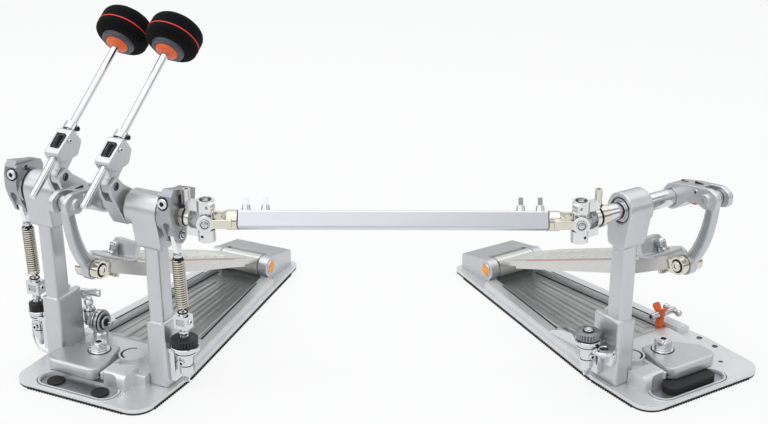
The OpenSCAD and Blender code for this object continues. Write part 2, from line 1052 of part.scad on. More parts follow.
module beater_felt(x) {
  color(RUBBER)
    beater_place(x)
      translate([0, felt_start, shaft_v])
        rotate([-90, 0, 0])
          rotate_extrude()
            polygon(felt_profile());
}

module beater_core(x) {
  color(GREY)
    beater_place(x)
      translate([0, felt_start, shaft_v])
        rotate([90, 0, 0])
          rotate_extrude()
            polygon([
              [shaft_r, 0], [core_r, 0], [core_r - 1, core_t], [insert_r, core_t],
              [insert_r - 1, core_t + 3], [shaft_r, core_t + 3.5]
            ]);
}

// Springs, drawn in a frame at the lower end, with z towards the rocker's pin. The wire is one
// tube: a long straight lower end, the curls and a straight upper end.
spring_low = axle_h - 108;
end_rise = 5;
tail = 13;
wire_sides = 6;
rings_per_curl = 8;

function coil_point(t) = [coil_r * cos(360 * t), coil_r * sin(360 * t), coil_pitch * t];

function spring_path() = concat(
  [[0, 0, -end_rise - tail], [0, 0, -end_rise + 2 * wire_r], [coil_r * 0.5, 0, -wire_r]],
  [for (k = [0:coil_n * rings_per_curl]) coil_point(k / rings_per_curl)],
  [
    [coil_r * 0.5, 0, coil_n * coil_pitch + wire_r],
    [0, 0, coil_n * coil_pitch + end_rise - 2 * wire_r],
    [0, 0, coil_n * coil_pitch + end_rise]
  ]);

function path_way(p, k) =
  unit(p[min(len(p) - 1, k + 1)] - p[max(0, k - 1)]);

// Rings stand square to the path; each starts in the direction away from the spring's middle
function ring(p, k) =
  let (
    way = path_way(p, k),
    flat = [p[k][0], p[k][1], 0],
    out0 = norm(flat) > 0.5 ? unit(flat) : [1, 0, 0],
    side = unit(cross(way, out0)),
    out = cross(side, way)
  )
  [for (j = [0:wire_sides - 1])
    p[k] + wire_r * (out * cos(360 * j / wire_sides) + side * sin(360 * j / wire_sides))];

module wire(path) {
  n = len(path);
  m = wire_sides;
  points = [for (k = [0:n - 1]) each ring(path, k)];
  sides = [for (k = [0:n - 2]) for (j = [0:m - 1])
    each [
      [k * m + j, (k + 1) * m + j, k * m + (j + 1) % m],
      [k * m + (j + 1) % m, (k + 1) * m + j, (k + 1) * m + (j + 1) % m]
    ]];
  ends = concat(
    [for (j = [1:m - 2]) [0, j, j + 1]],
    [for (j = [1:m - 2]) [(n - 1) * m, (n - 1) * m + j + 1, (n - 1) * m + j]]);
  polyhedron(points = points, faces = concat(sides, ends));
}

// Least gap between neighbouring curls, and between the curls and the straight ends
curl_gap = coil_pitch - 2 * wire_r;
echo(least_gap_of_spring_wire = curl_gap);

spring_rise = axle_h + hook_z - spring_low;
spring_len = norm([hook_y, spring_rise]);
spring_lean = atan2(-hook_y, spring_rise);
wire_top = 2 * end_rise + coil_n * coil_pitch;
eye_ring_r = 7.5;
hook_t = 5;

module spring(side) {
  translate([side * spring_x, 0, spring_low])
    rotate([spring_lean, 0, 0]) {
      color(NICKEL)
        translate([0, 0, end_rise])
          wire(spring_path());
      color(CHROME)
        difference() {
          union() {
            bar_z(4.2, wire_top, wire_top + 4);
            across(-hook_t / 2, hook_t / 2)
              polygon([
                [-3.4, wire_top + 1],
                [3.4, wire_top + 1],
                [eye_ring_r - 0.6, spring_len - 3],
                [-eye_ring_r + 0.6, spring_len - 3]
              ]);
            translate([0, 0, spring_len])
              bar_x(eye_ring_r, -hook_t / 2, hook_t / 2);
          }
          translate([0, 0, spring_len])
            bar_x(hook_pin_r + 0.2, -20, 20);
        }
    }
}

// Threaded rod under each spring, with an open box that holds the spring's straight end
box_h = 18;
box_w = 16;
box_d = 12;
box_plate = 4;
rod_r = 3;
rod_z = 30;

module tension_rod(side) {
  low = spring_low - box_h;
  color(CHROME)
    translate([side * spring_x, 0, 0])
      difference() {
        union() {
          bar_z(rod_r, rod_z, low + 2);
          for (z = [low, spring_low - box_plate - 3])
            translate([-box_w / 2, -box_d / 2, z])
              cube([box_w, box_d, box_plate]);
          for (s = [-1, 1])
            translate([s * (box_w / 2 - 1.5) - 1.5, -box_d / 2, low])
              cube([3, box_d, box_h - 4]);
          bar_z(4, spring_low - 4, spring_low);
        }
        bar_z(wire_r + 0.7, low + box_plate, spring_low + 1);
      }
}

// Adjusting nuts: a knurled knob over a flange with two lugs
knob_z = 52;
knob_h = 13;
flange_h = 5;
knurls = 18;

// Outline of a knurled knob: flat teeth with narrow grooves between them
function knurled(r) = [
  for (k = [0:knurls - 1])
    for (p = [[r, -0.28], [r, 0.28], [r - 0.9, 0.42], [r - 0.9, 0.58]])
      turned([p[0], 0], (k + p[1]) * 360 / knurls)
];

module knob(r) {
  color(RUBBER)
    difference() {
      union() {
        translate([0, 0, flange_h - 1])
          linear_extrude(knob_h - flange_h + 1)
            polygon(knurled(r));
        cylinder(r = r + 1, h = flange_h);
        translate([-r - 2, -4, 0])
          cube([2 * r + 4, 8, flange_h]);
      }
      bar_z(rod_r + running, -1, 60);
    }
}

module spring_knob(side, rod_y, r) {
  translate([side * spring_x, rod_y, knob_z])
    knob(r);
}

left_knob_r = 9.5;
right_knob_r = 14;

// Brackets at the outer side of the posts' feet that hold the threaded rods
bracket_t = 5;
slave_rod_y = 16;

module lock_bracket(rod_y, r) {
  inner = post_x + foot_w / 2;
  top = knob_z - gap;
  difference() {
    union() {
      translate([inner, rod_y - 8, top - bracket_t])
        cube([spring_x - inner, 16, bracket_t]);
      translate([spring_x, rod_y, 0])
        bar_z(r, top - bracket_t, top);
      translate([inner, rod_y - 7, 14])
        cube([7, 14, top - 16]);
      translate([spring_x, rod_y, 0])
        bar_z(7, 24, top - 2);
    }
    translate([spring_x, rod_y, 0])
      bar_z(rod_r, 0, 80);
  }
}

module lock_brackets() {
  color(CHROME) {
    main_place() mirror([1, 0, 0]) lock_bracket(0, 9);
    main_place() lock_bracket(0, 12);
  }
}

// The second pedal's lock: a bracket with a rod, a flat lug beside the post's foot and a folded
// clip that lies on the rail
lug_x = post_x + foot_w / 2;

module slave_lock() {
  color(CHROME)
    slave_place() {
      union() {
        lock_bracket(slave_rod_y, 12);
        translate([spring_x, slave_rod_y, 0])
          bar_z(rod_r, rod_z, knob_z + knob_h + 3);
        across(lug_x, lug_x + 5)
          polygon(rounded(
            [[-10, 30], [30, 26], [34, 34], [30, 44], [-6, 50], [-12, 40]],
            [6, 5, 3, 5, 7, 5], 4));
      }
      translate([side_x(88) - rail_edge - 15, 0, rail_top])
        difference() {
          across(0, 11)
            polygon(rounded(
              [[66, 0], [112, 0], [108, 5], [92, 12], [76, 14], [66, 8]],
              [0, 0, 2, 5, 5, 3], 4));
          translate([2, 60, 2])
            cube([7, 60, 30]);
        }
    }
}

// Hoop clamp: pads, jaw and bolt
pad_r = 9.5;
pad_x = [-24, 33];
block_x = [-29, 36];

module hoop_pads() {
  floor_z = plate_top - recess_depth;
  color(RUBBER) {
    main_place()
      for (x = pad_x)
        translate([main_jaw_x + x, (recess_y0 + recess_y1) / 2, floor_z])
          cylinder(r = pad_r, h = recess_depth + 0.6);
    slave_place()
      translate([0, 0, floor_z])
        linear_extrude(jaw_z - jaw_lip - gap - floor_z)
          polygon(rounded(
            [
              [slave_jaw_x + block_x[0], recess_y0 + 4],
              [slave_jaw_x + block_x[1], recess_y0 + 4],
              [slave_jaw_x + block_x[1], recess_y1 - 2],
              [slave_jaw_x + block_x[0], recess_y1 - 2]
            ],
            8, 5));
  }
}

jaw_z = bridge_top;

module jaw(jaw_x) {
  color(ALUMINIUM)
    difference() {
      intersection() {
        across(jaw_x - jaw_far, jaw_x + jaw_near)
          polygon(rounded(
            [
              [jaw_back, jaw_z],
              [jaw_back, jaw_z + jaw_t],
              [jaw_front, jaw_z + jaw_t],
              [jaw_front, jaw_z - jaw_lip],
              [jaw_front + 7, jaw_z - jaw_lip],
              [jaw_front + 10, jaw_z]
            ],
            [0, 3, 4, 1.5, 1.5, 2], 4));
        translate([jaw_x, 0, 0])
          linear_extrude(60)
            polygon(rounded(
              [
                [-14, jaw_back],
                [-jaw_far, -18],
                [-jaw_far, jaw_front],
                [jaw_near, jaw_front],
                [jaw_near, -22],
                [16, jaw_back]
              ],
              [6, 10, 12, 12, 10, 6], 5));
      }
      translate([jaw_x, bolt_y, 0])
        bar_z(bolt_r + 0.5, 0, 80);
    }
}

module hoop_bolt(jaw_x) {
  top = jaw_z + jaw_t;
  color(CHROME)
    translate([jaw_x, bolt_y, 0])
      union() {
        bar_z(bolt_r, plate_top - 3, top + 2);
        bar_z(11, top, top + 1.6);
        translate([0, 0, top + 1.6])
          cylinder(r = 8, h = 7, $fn = 6);
        bar_z(5, top + 8, top + 12);
      }
}

// Side adjuster of the main pedal's hoop clamp: a housing behind the left post's foot, with a
// wing lever on its screw
adjuster_x = -38;
adjuster_y = 36;
wing_x = -17;
wing_z = 70;

module adjuster_place() {
  main_place()
    translate([adjuster_x, adjuster_y, 0])
      children();
}

module adjuster_body() {
  color(CHROME)
    adjuster_place()
      difference() {
        union() {
          bar_z(8, bridge_top, 24);
          bar_z(5.5, 23, 50);
          bar_z(7, 50, 54);
          translate([wing_x - 5, -5, 34])
            cube([-wing_x + 6, 10, 14]);
          translate([wing_x, 0, 0])
            bar_z(7, 32, 52);
          translate([0, 0, 30])
            bar_x(2, 0, 12);
          translate([0, 0, 30])
            bar_x(3.4, 9, 12);
        }
        translate([wing_x, 0, 0])
          bar_z(3 + running, 20, 80);
      }
}

module adjuster_wing() {
  color(CHROME)
    adjuster_place()
      translate([wing_x, 0, 0])
        union() {
          bar_z(3, 34, wing_z);
          bar_z(5.5, 55, 60);
          translate([-8, 0, wing_z])
            rotate([0, 84, 0])
              cylinder(r1 = 6.5, r2 = 4, h = 25);
        }
}

// Drum key stored on the second pedal, in a clip with three wings
key_y = 62;
key_z = 26;
key_r = 3.8;
key_x0 = 38;
key_len = 36;

module key_place() {
  slave_place()
    translate([-key_x0, key_y, key_z])
      mirror([1, 0, 0])
        children();
}

module stored_key() {
  color(CHROME)
    key_place()
      difference() {
        union() {
          bar_x(key_r, 0, key_len);
          translate([key_len - 3, 0, 0])
            bar_y(2.6, -11, 11);
          for (s = [-1, 1])
            translate([key_len - 3, s * 10, 0])
              sphere(r = 4, $fn = SMALL_FN);
        }
        bar_x(2.4, -1, 14, $fn = 4);
      }
}

module key_clip() {
  color(ORANGE)
    key_place()
      translate([8, 0, 0])
        difference() {
          union() {
            bar_x(key_r + 2, 0, 12);
            for (a = [20, 130, 250])
              rotate([a, 0, 0])
                translate([1, -1.2, key_r])
                  cube([10, 2.4, 10]);
            translate([2, -4, plate_top - key_z])
              cube([8, 8, key_z - plate_top - key_r]);
          }
          bar_x(key_r + running, -5, 30);
        }
}

// Drive shaft: a square tube with round shafts clamped in its ends
tube_turn = 31;

module drive_tube() {
  color(ALUMINIUM)
    drive_place()
      translate([tube_start, 0, 0])
        rotate([90, 0, 90])
          linear_extrude(shaft_len - 2 * tube_start)
            difference() {
              polygon(rounded(
                [for (a = [0:3]) turned([tube_w / 2, tube_w / 2], 90 * a - tube_turn)],
                2, 3));
              circle(r = stub_r);
            }
}

// Fork of the drive shaft: two round bosses on flat arms, and a flared collar before the tube
fork_in = 9.2;
fork_out = 12.8;
fork_boss_r = 8.6;
arm_half = 4.6;
flare_start = 15;
flare_end = 21;
stub_in = 30;

module drive_fork() {
  difference() {
    union() {
      for (side = [-1, 1])
        translate([0, side > 0 ? fork_in : -fork_out, 0]) {
          bar_y(fork_boss_r, 0, fork_out - fork_in);
          translate([0, 0, -arm_half])
            cube([flare_end + 5, fork_out - fork_in, 2 * arm_half]);
        }
      translate([flare_start, -fork_out, -arm_half])
        cube([flare_end + 5 - flare_start, 2 * fork_out, 2 * arm_half]);
      bar_x(stub_r, flare_start, tube_start + stub_in);
      translate([flare_start, 0, 0])
        rotate([0, 90, 0])
          cylinder(r1 = stub_r + 1, r2 = stub_r + 5, h = flare_end - flare_start);
      bar_x(stub_r + 5, flare_end, tube_start);
    }
    bar_y(pin2_r + running, -40, 40);
  }
}

module drive_forks() {
  color(NICKEL)
    drive_place() {
      drive_fork();
      translate([shaft_len, 0, 0])
        mirror([1, 0, 0])
          drive_fork();
    }
}

// Square-headed screws that clamp the shafts in the tube
screw_in = [8, 27];

module key_bolts() {
  color(CHROME)
    drive_place()
      for (d = screw_in)
        for (x = [tube_start + d, shaft_len - tube_start - d])
          rotate([-tube_turn, 0, 0])
            translate([x, 0, tube_w / 2])
              union() {
                cylinder(r1 = 5, r2 = 4, h = 6);
                translate([0, 0, 5])
                  rotate([0, 0, 45])
                    cylinder(r = 3.4, h = 9, $fn = 4);
              }
}

// Crosses of the universal joints
cross_r = 3.2;
cross_play = 1;
pin2_r = 3;

module joint_cross() {
  color(CHROME)
    union() {
      translate([-5.5, -5.5, -5.5])
        cube(11);
      bar_z(cross_r, -boss_out + 1, boss_out - 1);
      bar_y(pin2_r, -fork_out - 1, fork_out + 1);
      for (side = [-1, 1])
        translate([0, side > 0 ? fork_out + gap : -fork_out - gap - 1.2, 0])
          bar_y(5, 0, 1.2);
    }
}

main_place() mat();  // main_mat
slave_place() mat();  // slave_mat
main_place() base(main_jaw_x, true);  // main_base
slave_place() base(slave_jaw_x, false);  // slave_base
main_place() mirror([1, 0, 0]) post_at(main_housing);  // left_post
main_place() post_at(main_housing);  // right_post
slave_place() post_at(slave_housing);  // slave_post
bearings();
main_place() heel_plate();  // main_heel_plate
slave_place() heel_plate();  // slave_heel_plate
hinge_pins();
hinge_caps();
hoop_pads();
lock_brackets();
slave_lock();
adjuster_body();
key_clip();
main_place() jaw(main_jaw_x);  // main_jaw
main_place() hoop_bolt(main_jaw_x);  // main_hoop_bolt
slave_place() jaw(slave_jaw_x);  // slave_jaw
slave_place() hoop_bolt(slave_jaw_x);  // slave_hoop_bolt
adjuster_wing();
stored_key();
main_place() footboard();  // main_footboard
main_place() toe_stop();  // main_toe_stop
main_place() pivot_block();  // main_pivot_block
main_place() link();  // main_link
slave_place() footboard();  // slave_footboard
slave_place() toe_stop();  // slave_toe_stop
slave_place() pivot_block();  // slave_pivot_block
slave_place() link();  // slave_link
main_place() left_axle();
main_place() cam_arm();  // main_cam_arm
main_place() rocker(-1);  // left_rocker
main_place() hub(-beater_x);  // left_hub
main_place() hub_head(-beater_x);  // left_hub_head
main_place() beater_shaft(-beater_x);  // left_beater_shaft
main_place() beater_felt(-beater_x);  // left_beater_felt
main_place() beater_core(-beater_x);  // left_beater_core
main_place() right_axle();
main_place() rocker(1);  // right_rocker
main_place() hub(beater_x);  // right_hub
main_place() hub_head(beater_x);  // right_hub_head
main_place() beater_shaft(beater_x);  // right_beater_shaft
main_place() beater_felt(beater_x);  // right_beater_felt
main_place() beater_core(beater_x);  // right_beater_core
main_place() spring(-1);  // left_spring
main_place() spring(1);  // right_spring
main_place() tension_rod(-1);  // left_tension_rod
main_place() tension_rod(1);  // right_tension_rod
main_place() spring_knob(-1, 0, left_knob_r);  // left_knob
main_place() spring_knob(1, 0, right_knob_r);  // right_knob
slave_place() spring_knob(1, slave_rod_y, right_knob_r - 1);  // slave_knob
drive_tube();
drive_forks();
key_bolts();
drive_place() joint_cross();  // main_cross
drive_place() translate([shaft_len, 0, 0]) joint_cross();  // slave_cross
slave_place() slave_axle();
slave_place() cam_arm();  // slave_cam_arm
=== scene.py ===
"""Looks of a double bass drum pedal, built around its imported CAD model."""

import json
import math

import bmesh
import bpy
from mathutils import Matrix, Vector, noise

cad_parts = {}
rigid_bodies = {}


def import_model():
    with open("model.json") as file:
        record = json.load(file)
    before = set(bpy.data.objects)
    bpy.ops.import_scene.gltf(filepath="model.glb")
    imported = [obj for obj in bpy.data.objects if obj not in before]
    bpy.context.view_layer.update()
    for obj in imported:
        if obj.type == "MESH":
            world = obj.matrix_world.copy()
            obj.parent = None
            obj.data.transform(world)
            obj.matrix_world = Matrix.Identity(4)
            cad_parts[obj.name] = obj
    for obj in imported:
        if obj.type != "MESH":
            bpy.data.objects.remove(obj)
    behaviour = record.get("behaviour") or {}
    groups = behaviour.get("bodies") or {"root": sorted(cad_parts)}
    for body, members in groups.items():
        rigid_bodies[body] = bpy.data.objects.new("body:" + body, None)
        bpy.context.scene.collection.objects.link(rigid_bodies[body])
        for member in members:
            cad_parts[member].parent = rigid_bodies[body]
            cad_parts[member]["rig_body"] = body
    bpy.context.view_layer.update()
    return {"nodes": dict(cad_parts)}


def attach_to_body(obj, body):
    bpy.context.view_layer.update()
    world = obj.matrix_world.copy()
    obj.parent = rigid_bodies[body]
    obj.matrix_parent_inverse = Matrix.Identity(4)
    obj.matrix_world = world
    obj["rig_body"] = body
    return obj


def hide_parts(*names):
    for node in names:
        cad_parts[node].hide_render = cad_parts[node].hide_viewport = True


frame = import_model()

MM = 0.001
TAU = 2 * math.pi
# Radius at which a turned solid closes round its axis
AXIS = 0.02

# Values of the CAD source, in millimetres
AXLE_H = 202.0
MAIN_YAW = 25.5
SLAVE_YAW = 33.0
JOINT_X = 130.0
SHAFT_LEN = 366.0
SLAVE_AT = (592.365, 14.837)
DRIVE_AT = (117.336, -55.967)
PLATE_TOP = 6.5
BRIDGE_TOP = 18.5
RAIL_TOP = 14.5
HINGE_X = 38.6
HINGE_Y = 268.0
HINGE_Z = 24.0
BOARD_SLOPE = 21.3
BOARD_LEN = 296.3
BOARD_TOP = 8
CAM_Y = 50.0
CAM_Z = 13.0
TOE_Y = 21.0
TOE_Z = 133.0
BEATER_X = 31.0
BEATER_TILT = 37.0
BEATER_Z = 52.0
FELT_Y = 159.0
SPRING_X = 95.0
KNOB_Z = 52.0
SLAVE_ROD_Y = 16.0
BOLT_Y = -3.0
JAW_X = {"main": -14.0, "slave": 5.0}


def turn(axis, degrees):
    return Matrix.Rotation(math.radians(degrees), 4, axis)


def shift(x, y, z):
    return Matrix.Translation((x, y, z))


HERE = Matrix.Identity(4)
X_UP = turn("Y", 90)
Y_UP = turn("X", -90)
Y_DOWN = turn("X", 90)
YZ = Matrix(((0, 0, 1, 0), (1, 0, 0, 0), (0, 1, 0, 0), (0, 0, 0, 1)))
MAIN = turn("Z", -MAIN_YAW)
SLAVE = shift(SLAVE_AT[0], SLAVE_AT[1], 0) @ turn("Z", SLAVE_YAW) @ Matrix.Diagonal((-1, 1, 1, 1))
DRIVE = shift(DRIVE_AT[0], DRIVE_AT[1], AXLE_H)
BOARD = shift(0, HINGE_Y, HINGE_Z) @ turn("X", -BOARD_SLOPE)
PEDALS = (("main", MAIN), ("slave", SLAVE))
SIDES = ((-1, "left"), (1, "right"))


def beater_frame(x):
    return MAIN @ shift(x, 0, AXLE_H) @ turn("X", BEATER_TILT)


def both_sides(x, y, z, at=HERE):
    """The places at -x and x, each with its z axis pointing outwards."""
    return [at @ shift(side * x, y, z) @ turn("Y", 90 * side) for side in (-1, 1)]


# Outlines
def unit(v):
    return v / max(v.length, 1e-9)


def rounded(points, radii, n=5):
    """Outline with round corners; radii is one number or one for each corner."""
    pts = [Vector(p) for p in points]
    count = len(pts)
    if not isinstance(radii, (list, tuple)):
        radii = [radii] * count
    out = []
    for i, q in enumerate(pts):
        r = radii[i]
        if r <= 0:
            out.append(q)
            continue
        a = unit(pts[i - 1] - q)
        b = unit(pts[(i + 1) % count] - q)
        half = math.acos(max(-1, min(1, a.dot(b)))) / 2
        centre = q + unit(a + b) * r / math.sin(half)
        start = q + a * r / math.tan(half) - centre
        way = -math.copysign(1, a.x * b.y - a.y * b.x)
        for k in range(n + 1):
            angle = way * (math.pi - 2 * half) * k / n
            out.append(centre + Matrix.Rotation(angle, 2) @ start)
    return out


def box(x0, x1, y0, y1):
    return [(x0, y0), (x1, y0), (x1, y1), (x0, y1)]


def circle(r, n=24, at=(0, 0)):
    return [Vector((at[0] + r * math.cos(TAU * k / n), at[1] + r * math.sin(TAU * k / n)))
            for k in range(n)]


def hexagon(r):
    """24 points along a regular hexagon with corner radius r."""
    corners = circle(r, 6)
    return [corners[k // 4].lerp(corners[(k // 4 + 1) % 6], (k % 4) / 4) for k in range(24)]


def raised(outline, z):
    return [(p[0], p[1], z) for p in outline]


class Kit:
    """Collects closed forms, in millimetres, into one mesh with several materials."""

    def __init__(self):
        self.bm = bmesh.new()

    def loft(self, rings, mat=0, place=HERE, caps=(True, True), loop=False):
        """Joins rings of points; loop joins the last to the first, else caps close the ends."""
        rows = [[self.bm.verts.new(place @ Vector(p)) for p in ring] for ring in rings]
        count = len(rows[0])
        faces = []
        pairs = list(zip(rows, rows[1:]))
        if loop:
            pairs.append((rows[-1], rows[0]))
        for a, b in pairs:
            for k in range(count):
                faces.append((a[k], a[(k + 1) % count], b[(k + 1) % count], b[k]))
        if caps[0] and not loop:
            faces.append(tuple(reversed(rows[0])))
        if caps[1] and not loop:
            faces.append(tuple(rows[-1]))
        for f in faces:
            self.bm.faces.new(f).material_index = mat

    def prism(self, outline, z0, z1, mat=0, place=HERE, edge=0.0, steps=3):
        """Extrudes an outline along z; edge rounds the rims of both ends."""
        rings = [raised(outline, z0), raised(outline, z1)]
        if edge > 0:
            inner = offset(outline, -edge)
            turns = [math.pi / 2 * k / steps for k in range(steps + 1)]
            rings = [mix_ring(inner, outline, math.sin(t), z0 + edge * (1 - math.cos(t))) for t in turns]
            rings += [mix_ring(inner, outline, math.sin(t), z1 - edge * (1 - math.cos(t)))
                      for t in reversed(turns)]
        self.loft(rings, mat, place)

    def lathe(self, profile, mat=0, place=HERE, n=40):
        """Turns (radius, height) pairs round z: from AXIS to AXIS a solid, else a ring."""
        rings = [[(r * math.cos(TAU * k / n), r * math.sin(TAU * k / n), z) for k in range(n)]
                 for r, z in profile]
        self.loft(rings, mat, place, loop=profile[0][0] > AXIS)

    def ring(self, r0, r1, z0, z1, mat=0, place=HERE, n=40):
        """A ring with a rectangular section, or a disc where r0 is AXIS."""
        self.lathe([(r0, z0), (r1, z0), (r1, z1), (r0, z1)], mat, place, n)

    def tube(self, path, r):
        """A round wire of radius r along a path."""
        n = 10
        pts = [Vector(p) for p in path]
        side = unit(unit(pts[1] - pts[0]).orthogonal())
        rings = []
        for k, p in enumerate(pts):
            way = unit(pts[min(k + 1, len(pts) - 1)] - pts[max(k - 1, 0)])
            side = unit(side - way * side.dot(way))
            other = way.cross(side)
            rings.append([p + r * (side * math.cos(TAU * j / n) + other * math.sin(TAU * j / n))
                          for j in range(n)])
        self.loft(rings)

    def cad(self, node, pick=None):
        """Adds the CAD node's own mesh. pick gives each solid, told by its two corners in
        millimetres, its material, or None where it is left out."""
        scratch = bmesh.new()
        scratch.from_mesh(frame["nodes"][node].data)
        bmesh.ops.remove_doubles(scratch, verts=scratch.verts, dist=1e-6)
        bmesh.ops.scale(scratch, vec=(1 / MM,) * 3, verts=scratch.verts)
        unwanted = []
        for f in scratch.faces:
            f.material_index = 0
        for group in (islands(scratch) if pick else ()):
            lo = Vector([min(v.co[k] for v in group) for k in range(3)])
            hi = Vector([max(v.co[k] for v in group) for k in range(3)])
            mat = pick(lo, hi)
            if mat is None:
                unwanted += group
                continue
            for v in group:
                for f in v.link_faces:
                    f.material_index = mat
        bmesh.ops.delete(scratch, geom=unwanted, context="VERTS")
        mesh = bpy.data.meshes.new("scratch")
        scratch.to_mesh(mesh)
        scratch.free()
        self.bm.from_mesh(mesh)
        bpy.data.meshes.remove(mesh)
        return self


def offset(outline, d):
    """Moves a closed outline outwards by d."""
    pts = [Vector(p) for p in outline]
    n = len(pts)
    area = sum(pts[i - 1].x * pts[i].y - pts[i].x * pts[i - 1].y for i in range(n))
    sign = 1 if area > 0 else -1
    out = []
    for i in range(n):
        before = unit(pts[i] - pts[i - 1])
        after = unit(pts[(i + 1) % n] - pts[i])
        normal_a = Vector((before.y, -before.x)) * sign
        normal_b = Vector((after.y, -after.x)) * sign
        mid = unit(normal_a + normal_b)
        out.append(pts[i] + mid * d / max(0.35, mid.dot(normal_a)))
    return out


def islands(bm):
    """The groups of vertices that hang together."""
    left = set(bm.verts)
    while left:
        stack = [left.pop()]
        group = list(stack)
        while stack:
            v = stack.pop()
            for e in v.link_edges:
                w = e.other_vert(v)
                if w in left:
                    left.remove(w)
                    stack.append(w)
                    group.append(w)
        yield group


def band(kit, outer, inner, z0, z1, place=HERE):
    """A closed band between two outlines that have the same number of points."""
    kit.loft([raised(line, z) for line, z in ((outer, z0), (outer, z1), (inner, z1), (inner, z0))],
             place=place, loop=True)


def arc(kit, centre, r0, r1, a0, a1, z0, z1):
    """A flat piece of ring between two angles."""
    angles = [math.radians(a0 + (a1 - a0) * k / 24) for k in range(25)]
    outline = [(centre[0] + r1 * math.cos(a), centre[1] + r1 * math.sin(a)) for a in angles]
    outline += [(centre[0] + r0 * math.cos(a), centre[1] + r0 * math.sin(a)) for a in reversed(angles)]
    kit.prism(outline, z0, z1)


def ridge(kit, start, end, wide, high, z):
    """A low rib with sloping sides between two points of the floor."""
    way = unit(Vector(end) - Vector(start))
    side = Vector((-way.y, way.x))
    section = [(-0.5, -0.2), (-0.3, high), (0.3, high), (0.5, -0.2)]
    kit.loft([[(*(Vector(p) + side * wide * s), z + h) for s, h in section] for p in (start, end)])


def mix_ring(a, b, s, z):
    return [(*(p.lerp(Vector(q), s)), z) for p, q in zip(a, b)]


def make_object(name, kit, place=HERE):
    """Turns a Kit into an object in metres."""
    bm = kit.bm
    bmesh.ops.transform(bm, matrix=Matrix.Scale(MM, 4) @ place, verts=bm.verts)
    bmesh.ops.recalc_face_normals(bm, faces=bm.faces)
    mesh = bpy.data.meshes.new(name)
    bm.to_mesh(mesh)
    bm.free()
    obj = bpy.data.objects.new(name, mesh)
    bpy.context.scene.collection.objects.link(obj)
    return obj


def attach(obj, body, slot, replaces):
    """Smooths the object's faces, ties it to its body and hides the CAD nodes it replaces."""
    obj.data.polygons.foreach_set("use_smooth", [True] * len(obj.data.polygons))
    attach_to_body(obj, body)
    if replaces:
        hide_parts(*replaces)


def piece(name, kit, body, mats, slot, place=HERE, replaces=(), bevel=0.0, steps=2, sharp=40, flat=0.0):
    """Makes a Kit into a piece that rides on a body and stands for CAD nodes."""
    if flat:
        bmesh.ops.dissolve_limit(kit.bm, angle_limit=math.radians(flat), verts=kit.bm.verts,
                                 edges=kit.bm.edges, delimit={"MATERIAL"})
    obj = make_object(name, kit, place)
    for m in mats if isinstance(mats, list) else [mats]:
        obj.data.materials.append(m)
    attach(obj, body, slot, replaces)
    obj.data.set_sharp_from_angle(angle=math.radians(sharp))
    if bevel:
        rim = obj.modifiers.new("rim", "BEVEL")
        rim.width = bevel * MM
        rim.segments = steps
        rim.limit_method = "ANGLE"
        rim.angle_limit = math.radians(30)
        rim.harden_normals = False
        weights = obj.modifiers.new("weights", "WEIGHTED_NORMAL")
        weights.keep_sharp = True
        weights.weight = 60


# Materials
def material(name, color, rough, metal=0.0, specular=0.5, coat=0.0, coat_rough=0.1):
    mat = bpy.data.materials.new(name)
    mat.use_nodes = True
    tree = mat.node_tree
    shader = tree.nodes["Principled BSDF"]
    shader.inputs["Base Color"].default_value = (*color, 1)
    shader.inputs["Roughness"].default_value = rough
    shader.inputs["Metallic"].default_value = metal
    shader.inputs["Specular IOR Level"].default_value = specular
    shader.inputs["Coat Weight"].default_value = coat
    shader.inputs["Coat Roughness"].default_value = coat_rough
    return mat, tree, shader


def add_node(tree, kind, *values, **settings):
    """Adds a shader node, fills its first inputs and returns its first output."""
    node = tree.nodes.new("ShaderNode" + kind)
    for key, value in settings.items():
        setattr(node, key, value)
    for socket, value in zip(node.inputs, values):
        if isinstance(value, bpy.types.NodeSocket):
            tree.links.new(value, socket)
        else:
            socket.default_value = value
    return node.outputs[0]


def object_coords(tree, scale=(1, 1, 1)):
    coords = tree.nodes.new("ShaderNodeTexCoord")
    mapping = tree.nodes.new("ShaderNodeMapping")
    mapping.inputs["Scale"].default_value = scale
    tree.links.new(coords.outputs["Object"], mapping.inputs["Vector"])
    return mapping.outputs["Vector"]


def noise_node(tree, vector, scale, detail, rough):
    node = tree.nodes.new("ShaderNodeTexNoise")
    node.inputs["Scale"].default_value = scale
    node.inputs["Detail"].default_value = detail
    node.inputs["Roughness"].default_value = rough
    tree.links.new(vector, node.inputs["Vector"])
    return node.outputs["Fac"]


def ramp(tree, value, stops):
    node = tree.nodes.new("ShaderNodeValToRGB")
    elements = node.color_ramp.elements
    while len(elements) < len(stops):
        elements.new(0.5)
    for element, (at, color) in zip(elements, stops):
        element.position = at
        element.color = (*color, 1)
    tree.links.new(value, node.inputs["Fac"])
    return node.outputs["Color"]


def bump(tree, shader, height, strength, distance):
    node = tree.nodes.new("ShaderNodeBump")
    node.inputs["Strength"].default_value = strength
    node.inputs["Distance"].default_value = distance
    tree.links.new(height, node.inputs["Height"])
    tree.links.new(node.outputs["Normal"], shader.inputs["Normal"])


def shade(color, k):
    return tuple(c * k for c in color)


